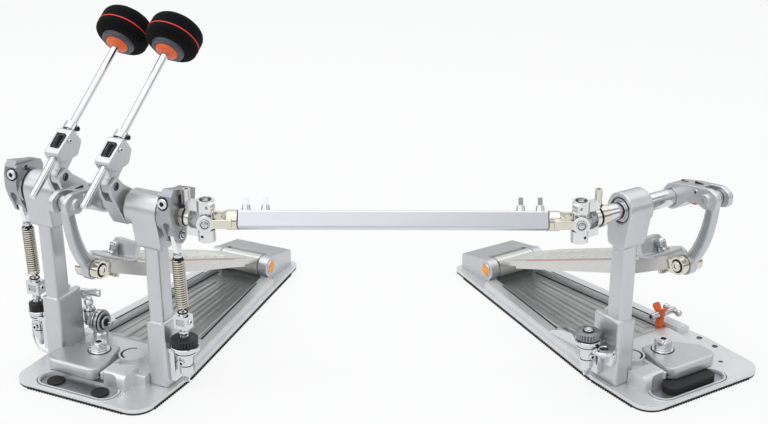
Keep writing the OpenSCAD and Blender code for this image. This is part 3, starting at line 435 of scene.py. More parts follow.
def mottled(name, color, rough, metal=0.0, spread=0.06, scale=180.0, grain=2500.0, depth=2e-5,
            strength=0.25, rough_spread=0.08, stretch=(1, 1, 1), **more):
    """A material whose tone, roughness and fine relief all vary a little."""
    mat, tree, shader = material(name, color, rough, metal, **more)
    coords = object_coords(tree, stretch)
    broad = noise_node(tree, coords, scale, 4.0, 0.6)
    fine = noise_node(tree, coords, grain, 2.0, 0.5)
    tone = ramp(tree, broad, [(0.3, shade(color, 1 - spread)), (0.7, shade(color, 1 + spread * 0.6))])
    tree.links.new(tone, shader.inputs["Base Color"])
    roughness = add_node(tree, "MapRange", broad, 0.0, 1.0, rough - rough_spread, rough + rough_spread)
    tree.links.new(roughness, shader.inputs["Roughness"])
    bump(tree, shader, fine, strength, depth)
    return mat


ALU = mottled("cast_silver", (0.60, 0.61, 0.63), 0.34, 0.78, spread=0.035, scale=60, grain=1800,
              depth=3e-5, rough_spread=0.05)
BASE = mottled("base_silver", (0.76, 0.775, 0.785), 0.38, 0.6, spread=0.04, scale=40, grain=1500,
               depth=3e-5, rough_spread=0.05)
FLOOR_METAL = mottled("channel_floor", (0.49, 0.515, 0.50), 0.30, 0.65, spread=0.14, scale=26,
                      grain=900, rough_spread=0.07)
BOARD_METAL = mottled("board_silver", (0.70, 0.695, 0.672), 0.34, 0.75, spread=0.04, scale=50, grain=1600,
                      depth=3e-5)
LINK_METAL = mottled("link_silver", (0.55, 0.565, 0.59), 0.32, 0.8, spread=0.05, scale=60, grain=1600)
LINK_DARK = mottled("link_panel", (0.36, 0.375, 0.40), 0.36, 0.8, scale=70, grain=1600)
ROCKER_METAL = mottled("rocker_silver", (0.40, 0.41, 0.44), 0.30, 0.85, spread=0.08, scale=70,
                       grain=1500)
CHROME = mottled("chrome", (0.69, 0.71, 0.73), 0.08, 1.0, spread=0.03, scale=50, rough_spread=0.03,
                 strength=0.015)
BRIGHT = mottled("bright_steel", (0.86, 0.87, 0.88), 0.16, 0.9, spread=0.03, scale=70, rough_spread=0.04,
                 strength=0.06)
NICKEL = mottled("nickel", (0.70, 0.67, 0.585), 0.14, 1.0, scale=90, rough_spread=0.05, strength=0.08)
SILVER = mottled("joint_silver", (0.76, 0.765, 0.765), 0.22, 0.9, spread=0.05, scale=90,
                 rough_spread=0.05, strength=0.08)
STEEL = mottled("steel", (0.60, 0.61, 0.63), 0.24, 1.0, scale=120, rough_spread=0.06, strength=0.08)
SPRING_STEEL = mottled("spring_steel", (0.66, 0.62, 0.54), 0.14, 1.0, spread=0.08, scale=140,
                       rough_spread=0.05, strength=0.08)
TUBE_METAL = mottled("tube_silver", (0.64, 0.66, 0.70), 0.30, 0.75, spread=0.04, scale=35, grain=1200,
                     stretch=(0.08, 1, 1), rough_spread=0.05)
# Painted shade for the faces inside the spring coil
SPRING_SHADE = mottled("spring_inside_painted_shade", (0.045, 0.04, 0.032), 0.4, 0.8, spread=0.1, scale=140)
BLACK = mottled("black_rubber", (0.012, 0.012, 0.014), 0.62, spread=0.3, scale=160, grain=1400,
                depth=15e-5, strength=0.5, rough_spread=0.1)
# Near-black for black parts, and painted shade in sockets, holes, slots, grooves and gaps between parts
BLACK_AND_SHADE = mottled("black_and_painted_shade", (0.012, 0.012, 0.014), 0.55, 0.2, spread=0.2, scale=120)
KNOB_BLACK = mottled("knob_black", (0.014, 0.014, 0.016), 0.42, 0.1, spread=0.3, scale=160, grain=1500,
                     depth=1e-4, strength=0.4)
KNOB_STEEL = mottled("knob_steel", (0.27, 0.275, 0.30), 0.28, 0.9, spread=0.2, scale=160, grain=1500,
                     depth=6e-5, strength=0.3)
ORANGE = mottled("orange", (0.86, 0.15, 0.035), 0.34, spread=0.08, scale=80, grain=900)
AMBER = mottled("amber", (0.95, 0.36, 0.015), 0.22, spread=0.10, scale=90, grain=900,
                rough_spread=0.04, coat=0.5, coat_rough=0.08)
GREY = mottled("grey_plastic", (0.055, 0.06, 0.078), 0.40, spread=0.10, scale=80, grain=900)
RED = mottled("red_line", (0.72, 0.03, 0.015), 0.5, spread=0.08, scale=200)


def felt_material():
    color = (0.0035, 0.0035, 0.004)
    mat, tree, shader = material("black_felt", color, 0.95, specular=0.08)
    coords = object_coords(tree)
    fibres = noise_node(tree, coords, 900, 6.0, 0.75)
    tufts = noise_node(tree, coords, 160, 3.0, 0.6)
    tone = ramp(tree, fibres, [(0.35, shade(color, 0.5)), (0.75, shade(color, 2.4))])
    tree.links.new(tone, shader.inputs["Base Color"])
    shader.inputs["Sheen Weight"].default_value = 0.03
    shader.inputs["Sheen Roughness"].default_value = 0.6
    relief = add_node(tree, "Math", fibres, tufts, operation="ADD")
    bump(tree, shader, relief, 0.8, 0.0006)
    return mat


FELT = felt_material()


# Small parts
def socket_head(kit, place, r, h, mat=0, dark=1, hex_share=0.55, depth=None):
    """Cylinder-head screw with a hexagon socket, standing on z = 0."""
    depth = depth or h * 0.7
    socket = hexagon(r * hex_share)
    kit.loft([raised(circle(r), 0), raised(circle(r), h - r * 0.12), raised(circle(r * 0.9), h),
              raised(socket, h)], mat, place, caps=(True, False))
    # The socket's inside is near-black: painted shade
    kit.loft([raised(socket, h), raised(socket, h - depth)], dark, place, caps=(False, True))


def hex_nut(kit, place, r, h):
    corner = hexagon(r)
    kit.loft([raised([p * 0.97 for p in corner], 0), raised(corner, r * 0.08),
              raised(corner, h - r * 0.12), raised(circle(r * 0.88), h)], place=place)


def thread(kit, place, r, z0, z1, pitch):
    """Threaded rod drawn as fine rings."""
    profile = [(AXIS, z0)]
    for k in range(int((z1 - z0) / pitch)):
        z = z0 + k * pitch
        profile += [(r * 0.84, z), (r, z + pitch * 0.45), (r, z + pitch * 0.6)]
    kit.lathe(profile + [(r * 0.84, z1), (AXIS, z1)], place=place, n=16)


def knurl(kit, place, r, z0, z1, teeth, depth, bore):
    """A knurled ring: teeth with narrow grooves between them, round a bore."""
    chamfer = 0.8
    ring = []
    for k in range(teeth):
        for radius, step in ((r - depth, -0.5), (r, -0.28), (r, 0.28)):
            a = TAU * (k + step) / teeth
            ring.append(Vector((radius * math.cos(a), radius * math.sin(a))))
    rim = [unit(p) * (r - depth - chamfer * 0.4) for p in ring]
    hole = [unit(p) * bore for p in ring]
    kit.loft([raised(line, z) for line, z in ((hole, z0), (rim, z0), (ring, z0 + chamfer),
                                              (ring, z1 - chamfer), (rim, z1), (hole, z1))],
             place=place, loop=True)


# Pieces that keep a CAD node's own form
def body_of(node):
    return frame["nodes"][node]["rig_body"]


def paint(kit, place, rule):
    """Gives each face the material that the rule names for its middle, in the pedal's own frame."""
    back = place.inverted()
    for f in kit.bm.faces:
        f.material_index = rule(back @ f.calc_center_median())


def carry(node, mats, slot, bevel, steps=2, pick=None, rule=None, place=HERE):
    """A piece with the CAD node's shape and softened rims."""
    kit = Kit().cad(node, pick=pick)
    if rule:
        paint(kit, place, rule)
    piece(node + "_form", kit, body_of(node), mats, slot, replaces=(node,), bevel=bevel, steps=steps,
          flat=1.5)


def carry_cast(node, mat, slot, voxel, soft, pick=None):
    """Cast metal with the CAD node's shape: its forms flow into one skin with soft edges."""
    obj = make_object(node + "_casting", Kit().cad(node, pick=pick))
    rough_mesh = obj.data
    grid = obj.modifiers.new("grid", "REMESH")
    grid.mode = "VOXEL"
    grid.voxel_size = voxel * MM * 1
    smooth = obj.modifiers.new("smooth", "SMOOTH")
    smooth.factor = 0.5
    smooth.iterations = soft
    graph = bpy.context.evaluated_depsgraph_get()
    obj.data = bpy.data.meshes.new_from_object(obj.evaluated_get(graph))
    obj.modifiers.clear()
    bpy.data.meshes.remove(rough_mesh)
    obj.data.name = obj.name
    obj.data.materials.clear()
    obj.data.materials.append(mat)
    attach(obj, body_of(node), slot, (node,))


def detail(name, node, kit, mats, slot, place, bevel=0.0):
    """A small piece beside a CAD node, on the same body."""
    piece(name, kit, body_of(node), mats, slot, place=place, bevel=bevel)


# Bases
# The channel narrows towards the heel by this factor
RIB_SHRINK = 0.6353


def rail_inner(y):
    return 59.4 - 0.12986 * (y - 40)


def recess_outline(jaw_x, d):
    return rounded(box(jaw_x - 41 - d, jaw_x + 52 + d, -62 - d, -36 + d), 12.5 + d, 9)


def base_outline(inset):
    return rounded([(-84 + inset, -68 + inset), (84 - inset, -68 + inset), (84 - inset, 20),
                    (44 - inset, 328 - inset), (-44 + inset, 328 - inset), (-84 + inset, 20)],
                   [22, 22, 90, 10, 10, 90], 6)


def base_trim(name, at):
    jaw_x = JAW_X[name]
    node = name + "_base"
    rims = Kit()
    band(rims, recess_outline(jaw_x, 2.4), recess_outline(jaw_x, 0.5), PLATE_TOP - 0.4, PLATE_TOP + 1.5)
    band(rims, recess_outline(jaw_x, 5.2), recess_outline(jaw_x, 3.6), PLATE_TOP - 0.4, PLATE_TOP + 0.9)
    # Step beside the jaw, along the block of the side screw
    rims.prism(rounded(box(jaw_x + 25.7, jaw_x + 29, -38, 4), 1.2), 14, 22.6, edge=0.8)
    detail(name + "_recess_rim", node, rims, BASE, "base_plate", at, bevel=0.3)
    # Painted shade: near-black strips in the grooves, slot and gaps of the base, where shade falls
    dark = Kit()
    band(dark, recess_outline(jaw_x, 3.6), recess_outline(jaw_x, 2.7), PLATE_TOP - 0.3, PLATE_TOP + 0.12)
    # Painted shade in a groove on each rail, and a painted shadow line at its foot: y and distance from
    # the rail's inner edge
    groove = ((84, 2.6), (84, 5.4), (237, 4.6), (237, 2.6))
    foot = ((68, -1.8), (68, 0.3), (259, 0.3), (259, -1.8))
    for side in (-1, 1):
        for line, z0, z1 in ((groove, RAIL_TOP - 0.4, RAIL_TOP + 0.12),
                             (foot, PLATE_TOP - 0.3, PLATE_TOP + 0.5)):
            dark.prism([(side * (rail_inner(y) + d), y) for y, d in line], z0, z1)
    # Painted shade filling the curved slot of the lobe
    arc(dark, (jaw_x + 35, 8), 10.4, 13.1, 96, 264, 21.8, 24.7)
    # Painted shadow line in the gap beside the step
    dark.prism(box(jaw_x + 25.0, jaw_x + 25.8, -40, -3), 18.2, 19.2)
    for y in (-2, 22):
        dark.ring(2.6, 3.3, -0.4, 0.12, place=shift(-76, y, PLATE_TOP), n=24)
    detail(name + "_painted_shade_lines", node, dark, BLACK_AND_SHADE, "black_rubber", at)
    tray = Kit()
    tray.prism(recess_outline(jaw_x, -0.3), PLATE_TOP - 2.4, PLATE_TOP - 1.75)
    detail(name + "_recess_floor", node, tray, LINK_DARK, "base_plate", at)
    panel = Kit()
    panel.prism([(-rail_inner(67) + 1.6, 67), (rail_inner(67) - 1.6, 67), (rail_inner(261) - 1.6, 261),
                 (-rail_inner(261) + 1.6, 261)], PLATE_TOP - 0.4, PLATE_TOP + 0.25)
    for x in (-30, -10, 10, 30):
        ridge(panel, (x, 61.4), (x * RIB_SHRINK, 232.6), 5.4, 2.0, PLATE_TOP)
    for x, wide in ((-20, 9), (0, 9), (20, 9), (-43, 7), (43, 7)):
        ridge(panel, (x, 72), (x * RIB_SHRINK, 236), wide, 0.8, PLATE_TOP + 0.2)
    detail(name + "_channel_floor", node, panel, FLOOR_METAL, "base_plate", at, bevel=0.25)


for name, at in PEDALS:
    carry(name + "_base", BASE, "base_plate", 1.0)
    base_trim(name, at)
    rubber = Kit()
    rubber.prism(base_outline(0.3), 0.02, 2.5, edge=0.3, steps=2)
    piece(name + "_mat_sheet", rubber, body_of(name + "_mat"), BLACK, "rubber_mat", place=at,
          replaces=(name + "_mat",))
    carry(name + "_heel_plate", ALU, "cast_aluminium", 1.2, 3)


def mat_studs(name, at):
    """Grip studs along the edge of the mat, which hold the pedal on a carpet."""
    spots = [(-60 + k * 3.6, -67.7) for k in range(34)]
    for side in (-1, 1):
        spots += [(side * 83.8, -44 + k * 3.6) for k in range(18)]
        spots += [(side * (83.4 - 0.12987 * k * 3.6), 24 + k * 3.6) for k in range(78)]
    kit = Kit()
    for x, y in spots:
        kit.lathe([(AXIS, 0.1), (1.4, 0.1), (1.4, 2.2), (0.8, 2.9), (AXIS, 2.9)], 0, shift(x, y, 0), 8)
    detail(name + "_mat_studs", name + "_mat", kit, BLACK, "rubber_mat", at)


for name, at in PEDALS:
    mat_studs(name, at)


# Heel hinges
def hinge_domes():
    kit = Kit()
    for at in (MAIN, SLAVE):
        for spot in both_sides(HINGE_X, HINGE_Y, HINGE_Z, at):
            kit.lathe([(AXIS, 0), (7.1, 0), (7.1, 1.9), (6.6, 2.7), (5.2, 3.15), (3.0, 3.4), (AXIS, 3.5)],
                      0, spot, n=36)
            kit.lathe([(7.0, 0), (8.6, 0), (8.6, 2.0), (8.2, 2.5), (7.4, 2.5), (7.0, 2.1)], 1, spot, n=36)
    piece("hinge_caps_dome", kit, body_of("hinge_caps"), [AMBER, STEEL], "orange",
          replaces=("hinge_caps",))


hinge_domes()
carry("hinge_pins", STEEL, "bearing_steel", 0.3)
carry("bearings", STEEL, "bearing_steel", 0.3)

# Posts and the dark seals of their bearings
for node in ("left_post", "right_post", "slave_post"):
    carry_cast(node, ALU, "cast_aluminium", 0.9, 5)


def seals():
    kit = Kit()
    spots = [(MAIN, x) for x in (-81.3, -44.7, 44.7, 81.3)] + [(SLAVE, x) for x in (50.7, 78.3)]
    for at, x in spots:
        spot = at @ shift(x, 0, AXLE_H) @ X_UP
        kit.ring(12.2, 13.1, -0.3, 0.3, 0, spot)
    piece("bearing_seals", kit, body_of("bearings"), BLACK_AND_SHADE, "black_rubber")


seals()

# Hoop clamps
for name, at in PEDALS:
    carry_cast(name + "_jaw", ALU, "cast_aluminium", 0.7, 4)
    bolt = Kit()
    spot = shift(JAW_X[name], BOLT_Y, 0)
    head = 8.2 if name == "main" else 11.2
    bolt.ring(AXIS, 3.9, 4, 26.2, 0, spot, n=28)
    bolt.lathe([(3.0, 26.45), (11.2, 26.45), (11.8, 27), (11.4, 27.9), (3.0, 28.3)], 0, spot, n=44)
    hex_nut(bolt, spot @ shift(0, 0, 28.0), 9.6, head - 1)
    socket_head(bolt, spot @ shift(0, 0, 27 + head - 0.1), 6.6, 1.2, 0, 1, 0.55, depth=1.0)
    # Near-black ring at the bolt's foot: a painted shadow under its flange
    bolt.ring(11.6, 12.8, 26.25, 26.7, 1, spot, n=44)
    piece(name + "_clamp_bolt", bolt, body_of(name + "_hoop_bolt"), [CHROME, BLACK_AND_SHADE], "chrome", place=at,
          replaces=(name + "_hoop_bolt",), bevel=0.3)
carry("hoop_pads", BLACK, "black_rubber", 0.8)


# Footboards
def board_trim(name, at):
    node = name + "_footboard"
    spot = at @ BOARD
    grip = Kit()
    for k in range(17):
        u = -66 - k * 11
        half = 19 if k % 2 else 14
        bar = rounded(box(-half, half, u - 1.6, u + 1.6), 1.5, 4)
        grip.prism(bar, BOARD_TOP + 0.8, BOARD_TOP + 1.9, edge=0.5)
    detail(name + "_grip_bars", node, grip, BOARD_METAL, "footboard", spot)
    line = Kit()
    for side in (-1, 1):
        line.prism([(side * 28, -70), (side * 28.8, -70), (side * 29.8, -252), (side * 29.0, -252)],
                   BOARD_TOP - 0.3, BOARD_TOP + 0.25)
    detail(name + "_red_line", node, line, RED, "orange", spot)
    bolts = Kit()
    for u in (-90, -205):
        for x in (-30, 30):
            socket_head(bolts, shift(x, u, 4.2) @ turn("X", 180), 3.4, 3.0)
    detail(name + "_under_bolts", node, bolts, [STEEL, BLACK_AND_SHADE], "bearing_steel", spot)
    # Screw of the toe stop
    screw = Kit()
    top = shift(6, -BOARD_LEN + 12, BOARD_TOP)
    hex_nut(screw, top @ shift(0, 0, 3.4), 6.6, 4.2)
    thread(screw, top, 4.5, 7.4, 14.4, 1.4)
    screw.lathe([(AXIS, 14), (4.3, 14), (4.0, 15.6), (2.4, 17.2), (AXIS, 17.8)], 0, top, n=24)
    detail(name + "_toe_screw", name + "_toe_stop", screw, CHROME, "chrome", spot)


for name, at in PEDALS:
    carry(name + "_footboard", BOARD_METAL, "footboard", 0.7)
    board_trim(name, at)
    carry_cast(name + "_toe_stop", ALU, "cast_aluminium", 0.6, 3)
    carry(name + "_pivot_block", NICKEL, "nickel", 0.9)
    cheek = Kit()
    for spot in both_sides(13.2, -TOE_Y, TOE_Z):
        # Near-black ring round the screw head: painted shade in the gap around it
        cheek.ring(5.6, 7.4, 0, 0.7, 1, spot, n=36)
        socket_head(cheek, spot, 5.6, 2.4, 0, 1, 0.5)
    detail(name + "_pivot_screws", name + "_pivot_block", cheek, [NICKEL, BLACK_AND_SHADE], "nickel", at)


# Links: cast bars with a sunk panel along both sides
def link_line(side, half_scale, cut=0):
    a = Vector((-TOE_Y, TOE_Z))
    b = Vector((-CAM_Y, AXLE_H + CAM_Z))
    way = unit(b - a)
    out = Vector((-way.y, way.x))
    line = []
    for k in range(cut, 21 - cut):
        t = k / 20
        half = (6.5 + (5.5 - 6.5) * t) * half_scale
        line.append(a + (b - a) * t + out * (9.5 * 4 * t * (1 - t) * (1 - 0.35 * t) + side * half))
    return line


def link_panels(name, at):
    kit = Kit()
    outline = link_line(1, 0.5, 3) + link_line(-1, 0.5, 3)[::-1]
    for x in (-4.75, 4.45):
        kit.prism(outline, x, x + 0.3, place=YZ)
    detail(name + "_link_panels", name + "_link", kit, LINK_DARK, "cast_aluminium", at)
    rings = Kit()
    for spot in both_sides(4.5, -TOE_Y, TOE_Z):
        rings.ring(8.2, 9.2, -0.3, 0.3, 0, spot)
    detail(name + "_link_seals", name + "_link", rings, BLACK_AND_SHADE, "black_rubber", at)


def arm_trim(name, at):
    """Screws, hole, slot and red pad of a cam arm; the hole and slot are drawn as near-black painted
    shade.
    """
    node = name + "_cam_arm"
    kit = Kit()
    for eye, screw in zip(both_sides(11.0, -CAM_Y, AXLE_H + CAM_Z),
                          both_sides(10.9, -CAM_Y + 15, AXLE_H + CAM_Z + 4)):
        socket_head(kit, eye, 6.4, 3.5, 2, 1, 0.42)
        socket_head(kit, screw, 2.7, 1.5, 0, 1, 0.45)
    slot = rounded(box(-1.2, 1.2, -34, -22), 1.1, 4)
    kit.prism(slot, AXLE_H + 19.5, AXLE_H + 22.2, 1)
    for y in (-11, -5):
        kit.ring(AXIS, 2.0, 0, 0.5, 1, shift(0, y, AXLE_H + 17.6), n=20)
    detail(node + "_screws", node, kit, [STEEL, BLACK_AND_SHADE, ALU], "bearing_steel", at)
    pad = Kit()
    pad.prism(rounded(box(-6.5, 6.5, -31, -19), 2, 4), AXLE_H + 0.2, AXLE_H + 4, edge=0.8)
    detail(node + "_red_pad", node, pad, RED, "orange", at)


# A cam arm's solids with a shorter diagonal are its screws, which arm_trim draws
SCREW_SPAN = 18


def without_screws(lo, hi):
    return 0 if (hi - lo).length > SCREW_SPAN else None


for name, at in PEDALS:
    carry_cast(name + "_link", LINK_METAL, "cast_aluminium", 0.6, 4)
    link_panels(name, at)
    carry_cast(name + "_cam_arm", ALU, "cast_aluminium", 0.7, 5, pick=without_screws)
    arm_trim(name, at)


# Rockers with their screws and pins
def rocker_trim(side, word):
    node = word + "_rocker"
    kit = Kit()
    screw = shift(side * (SPRING_X - 2), -17.6, AXLE_H + 17) @ Y_DOWN
    socket_head(kit, screw, 5.5, 3.4, 0, 1, 0.5)
    # Near-black rings round the screw and the pin: painted shade in the counterbore and gap
    kit.ring(5.7, 6.7, 0.2, 1.4, 1, screw, n=32)
    pin = shift(side * (SPRING_X + 6.2), -3, AXLE_H - 20) @ turn("Y", 90 * side)
    kit.lathe([(AXIS, 0), (4.7, 0), (4.7, 1.9), (4.2, 2.3), (3.4, 2.3)], 0, pin, n=32)
    kit.ring(2.2, 3.5, 2.0, 2.4, 1, pin, n=32)
    kit.lathe([(AXIS, 2.0), (2.2, 2.0), (2.0, 2.7), (AXIS, 2.8)], 0, pin, n=24)
    detail(node + "_screws", node, kit, [CHROME, BLACK_AND_SHADE], "chrome", MAIN)


for side, word in SIDES:
    carry(word + "_rocker", [ROCKER_METAL, CHROME], "cast_aluminium", 0.7, 2,
          pick=lambda lo, hi: 0 if (hi - lo).length > 30 else 1)
    rocker_trim(side, word)


# Springs
SPRING_LOW = 94.0
SPRING_LEAN = 1.9526
SPRING_LEN = 88.05
COIL_R = 5.9
WIRE_R = 0.9
CURL_RISE = 2.5
CURLS = 22
STEPS = 18
# Faces of the coil between these radii lie inside it and get painted shade, standing in for the shadow
# inside the coil
SHADE_FROM = 3.0
SHADE_TO = 6.1


def coil_path():
    path = [Vector((0, 0, -13)), Vector((0, 0, -8)), Vector((0, 0, 0.6)), Vector((0.5, 0, 2.0)),
            Vector((2.6, 0, 3.6))]
    for k in range(CURLS * STEPS + 1):
        t = k / STEPS
        grow = min(1, 0.75 + k / STEPS, 0.75 + (CURLS * STEPS - k) / STEPS)
        path.append(Vector((COIL_R * grow * math.cos(TAU * t), COIL_R * grow * math.sin(TAU * t),
                            5 + CURL_RISE * t)))
    top = 5 + CURLS * CURL_RISE
    path += [Vector((2.6, 0, top + 1.4)), Vector((0.5, 0, top + 3.0)), Vector((0, 0, top + 5))]
    return path


def teardrop():
    """Outline of the hook plate round its hole, in y and z, given by the angle from the hole."""
    line = []
    for k in range(72):
        a = TAU * k / 72
        r = 7.5
        if math.sin(a) < -0.2:
            r = min(22.05 / -math.sin(a), max(7.5, 7.451 / (abs(math.cos(a)) - 0.18373 * math.sin(a))))
        line.append(Vector((r * math.cos(a), SPRING_LEN + r * math.sin(a))))
    return line


def spring(side, word):
    at = MAIN @ shift(side * SPRING_X, 0, SPRING_LOW) @ turn("X", SPRING_LEAN)
    node = word + "_spring"
    kit = Kit()
    kit.tube(coil_path(), WIRE_R)
    # Faces inside the coil get the painted shade material
    for f in kit.bm.faces:
        middle = f.calc_center_median()
        if SHADE_FROM < math.hypot(middle.x, middle.y) < SHADE_TO:
            f.material_index = 1
    piece(node + "_coil", kit, body_of(node), [SPRING_STEEL, SPRING_SHADE], "nickel", place=at,
          replaces=(node,), sharp=60)
    hook = Kit()
    band(hook, teardrop(), circle(2.2, 72, at=(0, SPRING_LEN)), -2.5, 2.5, place=YZ)
    piece(node + "_hook", hook, body_of(node), BRIGHT, "chrome", place=at, bevel=0.7, steps=3)
    cap = Kit()
    cap.lathe([(1.2, 62.4), (4.6, 62.4), (4.9, 63.2), (4.9, 65.2), (4.4, 66.2), (1.2, 66.2)], n=32)
    # Near-black ring under the cap: painted shade in the gap
    cap.ring(3.0, 5.0, 61.4, 62.3, 1, n=32)
    piece(node + "_cap", cap, body_of(node), [CHROME, BLACK_AND_SHADE], "chrome", place=at)
    rod = Kit()
    low = shift(side * SPRING_X, 0, 0)
    thread(rod, low, 3.25, 65.6, 75.6, 1.0)
    hex_nut(rod, low @ shift(0, 0, 69.4), 5.4, 3.4)
    # Near-black ring at the rod's top: painted shade in the gap
    rod.ring(4.2, 5.6, 93.2, 94.4, 1, low, n=28)
    for spot in both_sides(8.0, 0, 84, low):
        socket_head(rod, spot, 3.2, 1.4, 0, 1, 0.5)
    detail(word + "_rod_nut", word + "_tension_rod", rod, [CHROME, BLACK_AND_SHADE], "chrome", MAIN)
    carry(word + "_tension_rod", CHROME, "chrome", 1.1, 3)


for side, word in SIDES:
    spring(side, word)


# Knurled adjusting nuts
def knob(node, at, r, skin):
    kit = Kit()
    bore = 3.12
    knurl(kit, shift(0, 0, 5.0), r, 0, 8, 26, 0.9, bore)
    # Near-black disc in the gap between base and knurl: painted shade
    kit.ring(bore, r - 1.4, 4.3, 5.2, 2)
    kit.lathe([(bore, 0), (r + 0.4, 0), (r + 1, 0.7), (r + 1, 3.6), (r + 0.4, 4.3), (bore, 4.3)], 1, n=48)
    for side in (-1, 1):
        lug = rounded(box(side * (r - 1), side * (r + 2), -4, 4), [0, 1.6, 1.6, 0], 4)
        kit.prism(lug, 0.3, 4.2, 1)
    inner = min(6.4, r - 2.2)
    # Near-black disc inside the knurl's top: painted shade
    kit.ring(bore, inner, 12.8, 13.2, 2, n=36)
    kit.lathe([(bore, 13.0), (inner - 1.6, 13.0), (inner - 1.6, 14.4), (bore, 14.8)], 1, n=6)
    piece(node + "_knurled", kit, body_of(node), [skin, CHROME, BLACK_AND_SHADE], "black_knob", place=at,
          replaces=(node,))


knob("left_knob", MAIN @ shift(-SPRING_X, 0, KNOB_Z), 9.5, KNOB_BLACK)
knob("right_knob", MAIN @ shift(SPRING_X, 0, KNOB_Z), 14, KNOB_BLACK)
knob("slave_knob", SLAVE @ shift(SPRING_X, SLAVE_ROD_Y, KNOB_Z), 13, KNOB_STEEL)

carry("lock_brackets", CHROME, "chrome", 1.0, 3)
carry("slave_lock", CHROME, "chrome", 1.2, 3)


def bracket_trim(node, at, x, y, r, tag):
    """Black lines of painted shade in the gaps, and side screws of a lock bracket, and the slit of its
    sleeve as a painted shade ring.
    """
    kit = Kit()
    spot = shift(x, y, 0)
    for z in (45.2, 33.0):
        kit.ring(6.9, 7.25, z, z + 0.9, 1, spot, n=36)
    kit.ring(r - 0.1, r + 0.2, 48.8, 49.6, 1, spot, n=44)
    socket_head(kit, shift(x, y - 6.8, 38) @ Y_DOWN, 3.4, 2.6, 0, 1, 0.5)
    hex_nut(kit, spot @ shift(0, 0, 20.6), 5.6, 3.4)
    thread(kit, spot, 3.1, 14, 21, 1.0)
    detail(tag + "_lock_trim", node, kit, [CHROME, BLACK_AND_SHADE], "chrome", at)


bracket_trim("lock_brackets", MAIN, -SPRING_X, 0, 9, "left")
bracket_trim("lock_brackets", MAIN, SPRING_X, 0, 12, "right")
bracket_trim("slave_lock", SLAVE, SPRING_X, SLAVE_ROD_Y, 12, "slave")


def ring_lug():
    """Flat ring of the second pedal's lock, in front of its sleeve."""
    kit = Kit()
    spot = shift(89, -3, 0)
    kit.lathe([(4.6, 46.6), (11.6, 46.4), (12.6, 47.4), (12.6, 50.2), (11.6, 51.2), (5.4, 51.2),
               (4.6, 50.4)], 0, spot, n=44)
    # Near-black disc in the ring's hole: painted shade
    kit.ring(AXIS, 4.7, 47, 48.2, 1, spot, n=32)
    kit.lathe([(AXIS, 41), (3.6, 41), (4.2, 41.8), (4.2, 46.8), (AXIS, 46.8)], 0, spot, n=32)
    detail("slave_lock_ring", "slave_lock", kit, [CHROME, BLACK_AND_SHADE], "chrome", SLAVE)


ring_lug()


def wire_lever():
    """Bent wire lever that hangs on the left bracket."""
    kit = Kit()
    path = [(-102, 0, 42), (-104.5, 0, 41), (-105.4, 0, 37), (-105, -1, 30), (-104, -2, 22),
            (-101, -3, 15), (-96, -5, 10.5), (-89, -6, 9), (-80, -6.5, 8.6)]
    kit.tube(path, 1.0)
    detail("left_wire_lever", "lock_brackets", kit, CHROME, "chrome", MAIN)


wire_lever()


# Hubs, their heads and the beaters
SHAFT_LINE = shift(0, 0, BEATER_Z) @ Y_UP


def hub_trim(x, word):
    node = word + "_hub_head"
    kit = Kit()
    # Knurled insert that grips the beater shaft, seen through the window, drawn near-black as painted
    # shade; the rings, socket discs, grooves and window rim below are painted shade too
    for k in range(12):
        y = 18.0 + k * 1.25
        kit.lathe([(4.08, y), (4.42, y + 0.35), (4.42, y + 0.8), (4.08, y + 1.15)], 0, SHAFT_LINE, n=28)
    kit.ring(4.1, 5.4, 42.6, 44.0, 0, SHAFT_LINE, n=32)
    for socket, groove in zip(both_sides(9.0, 0, 33), both_sides(8.5, 0, 33)):
        kit.ring(AXIS, 2.9, 0, 0.5, 0, socket, n=28)
        kit.ring(3.3, 4.3, -0.6, 0.12, 0, groove, n=28)
    band(kit, rounded(box(-5.3, 5.3, 16.2, 33.8), 1.0, 3), rounded(box(-4.4, 4.4, 17.1, 32.9), 0.6, 3),
         59.0, 60.3)
    socket_head(kit, shift(8.4, 30, 54) @ X_UP, 2.6, 1.6, 1, 0, 0.5)
    detail(node + "_painted_shade_marks", node, kit, [BLACK_AND_SHADE, STEEL], "black_rubber", beater_frame(x))
    collar = Kit()
    socket_head(collar, shift(7.2, 46.3, BEATER_Z) @ X_UP, 2.5, 2.6, 0, 0, 0.5)
    detail(word + "_collar_screw", word + "_beater_shaft", collar, BLACK_AND_SHADE, "black_rubber", beater_frame(x))


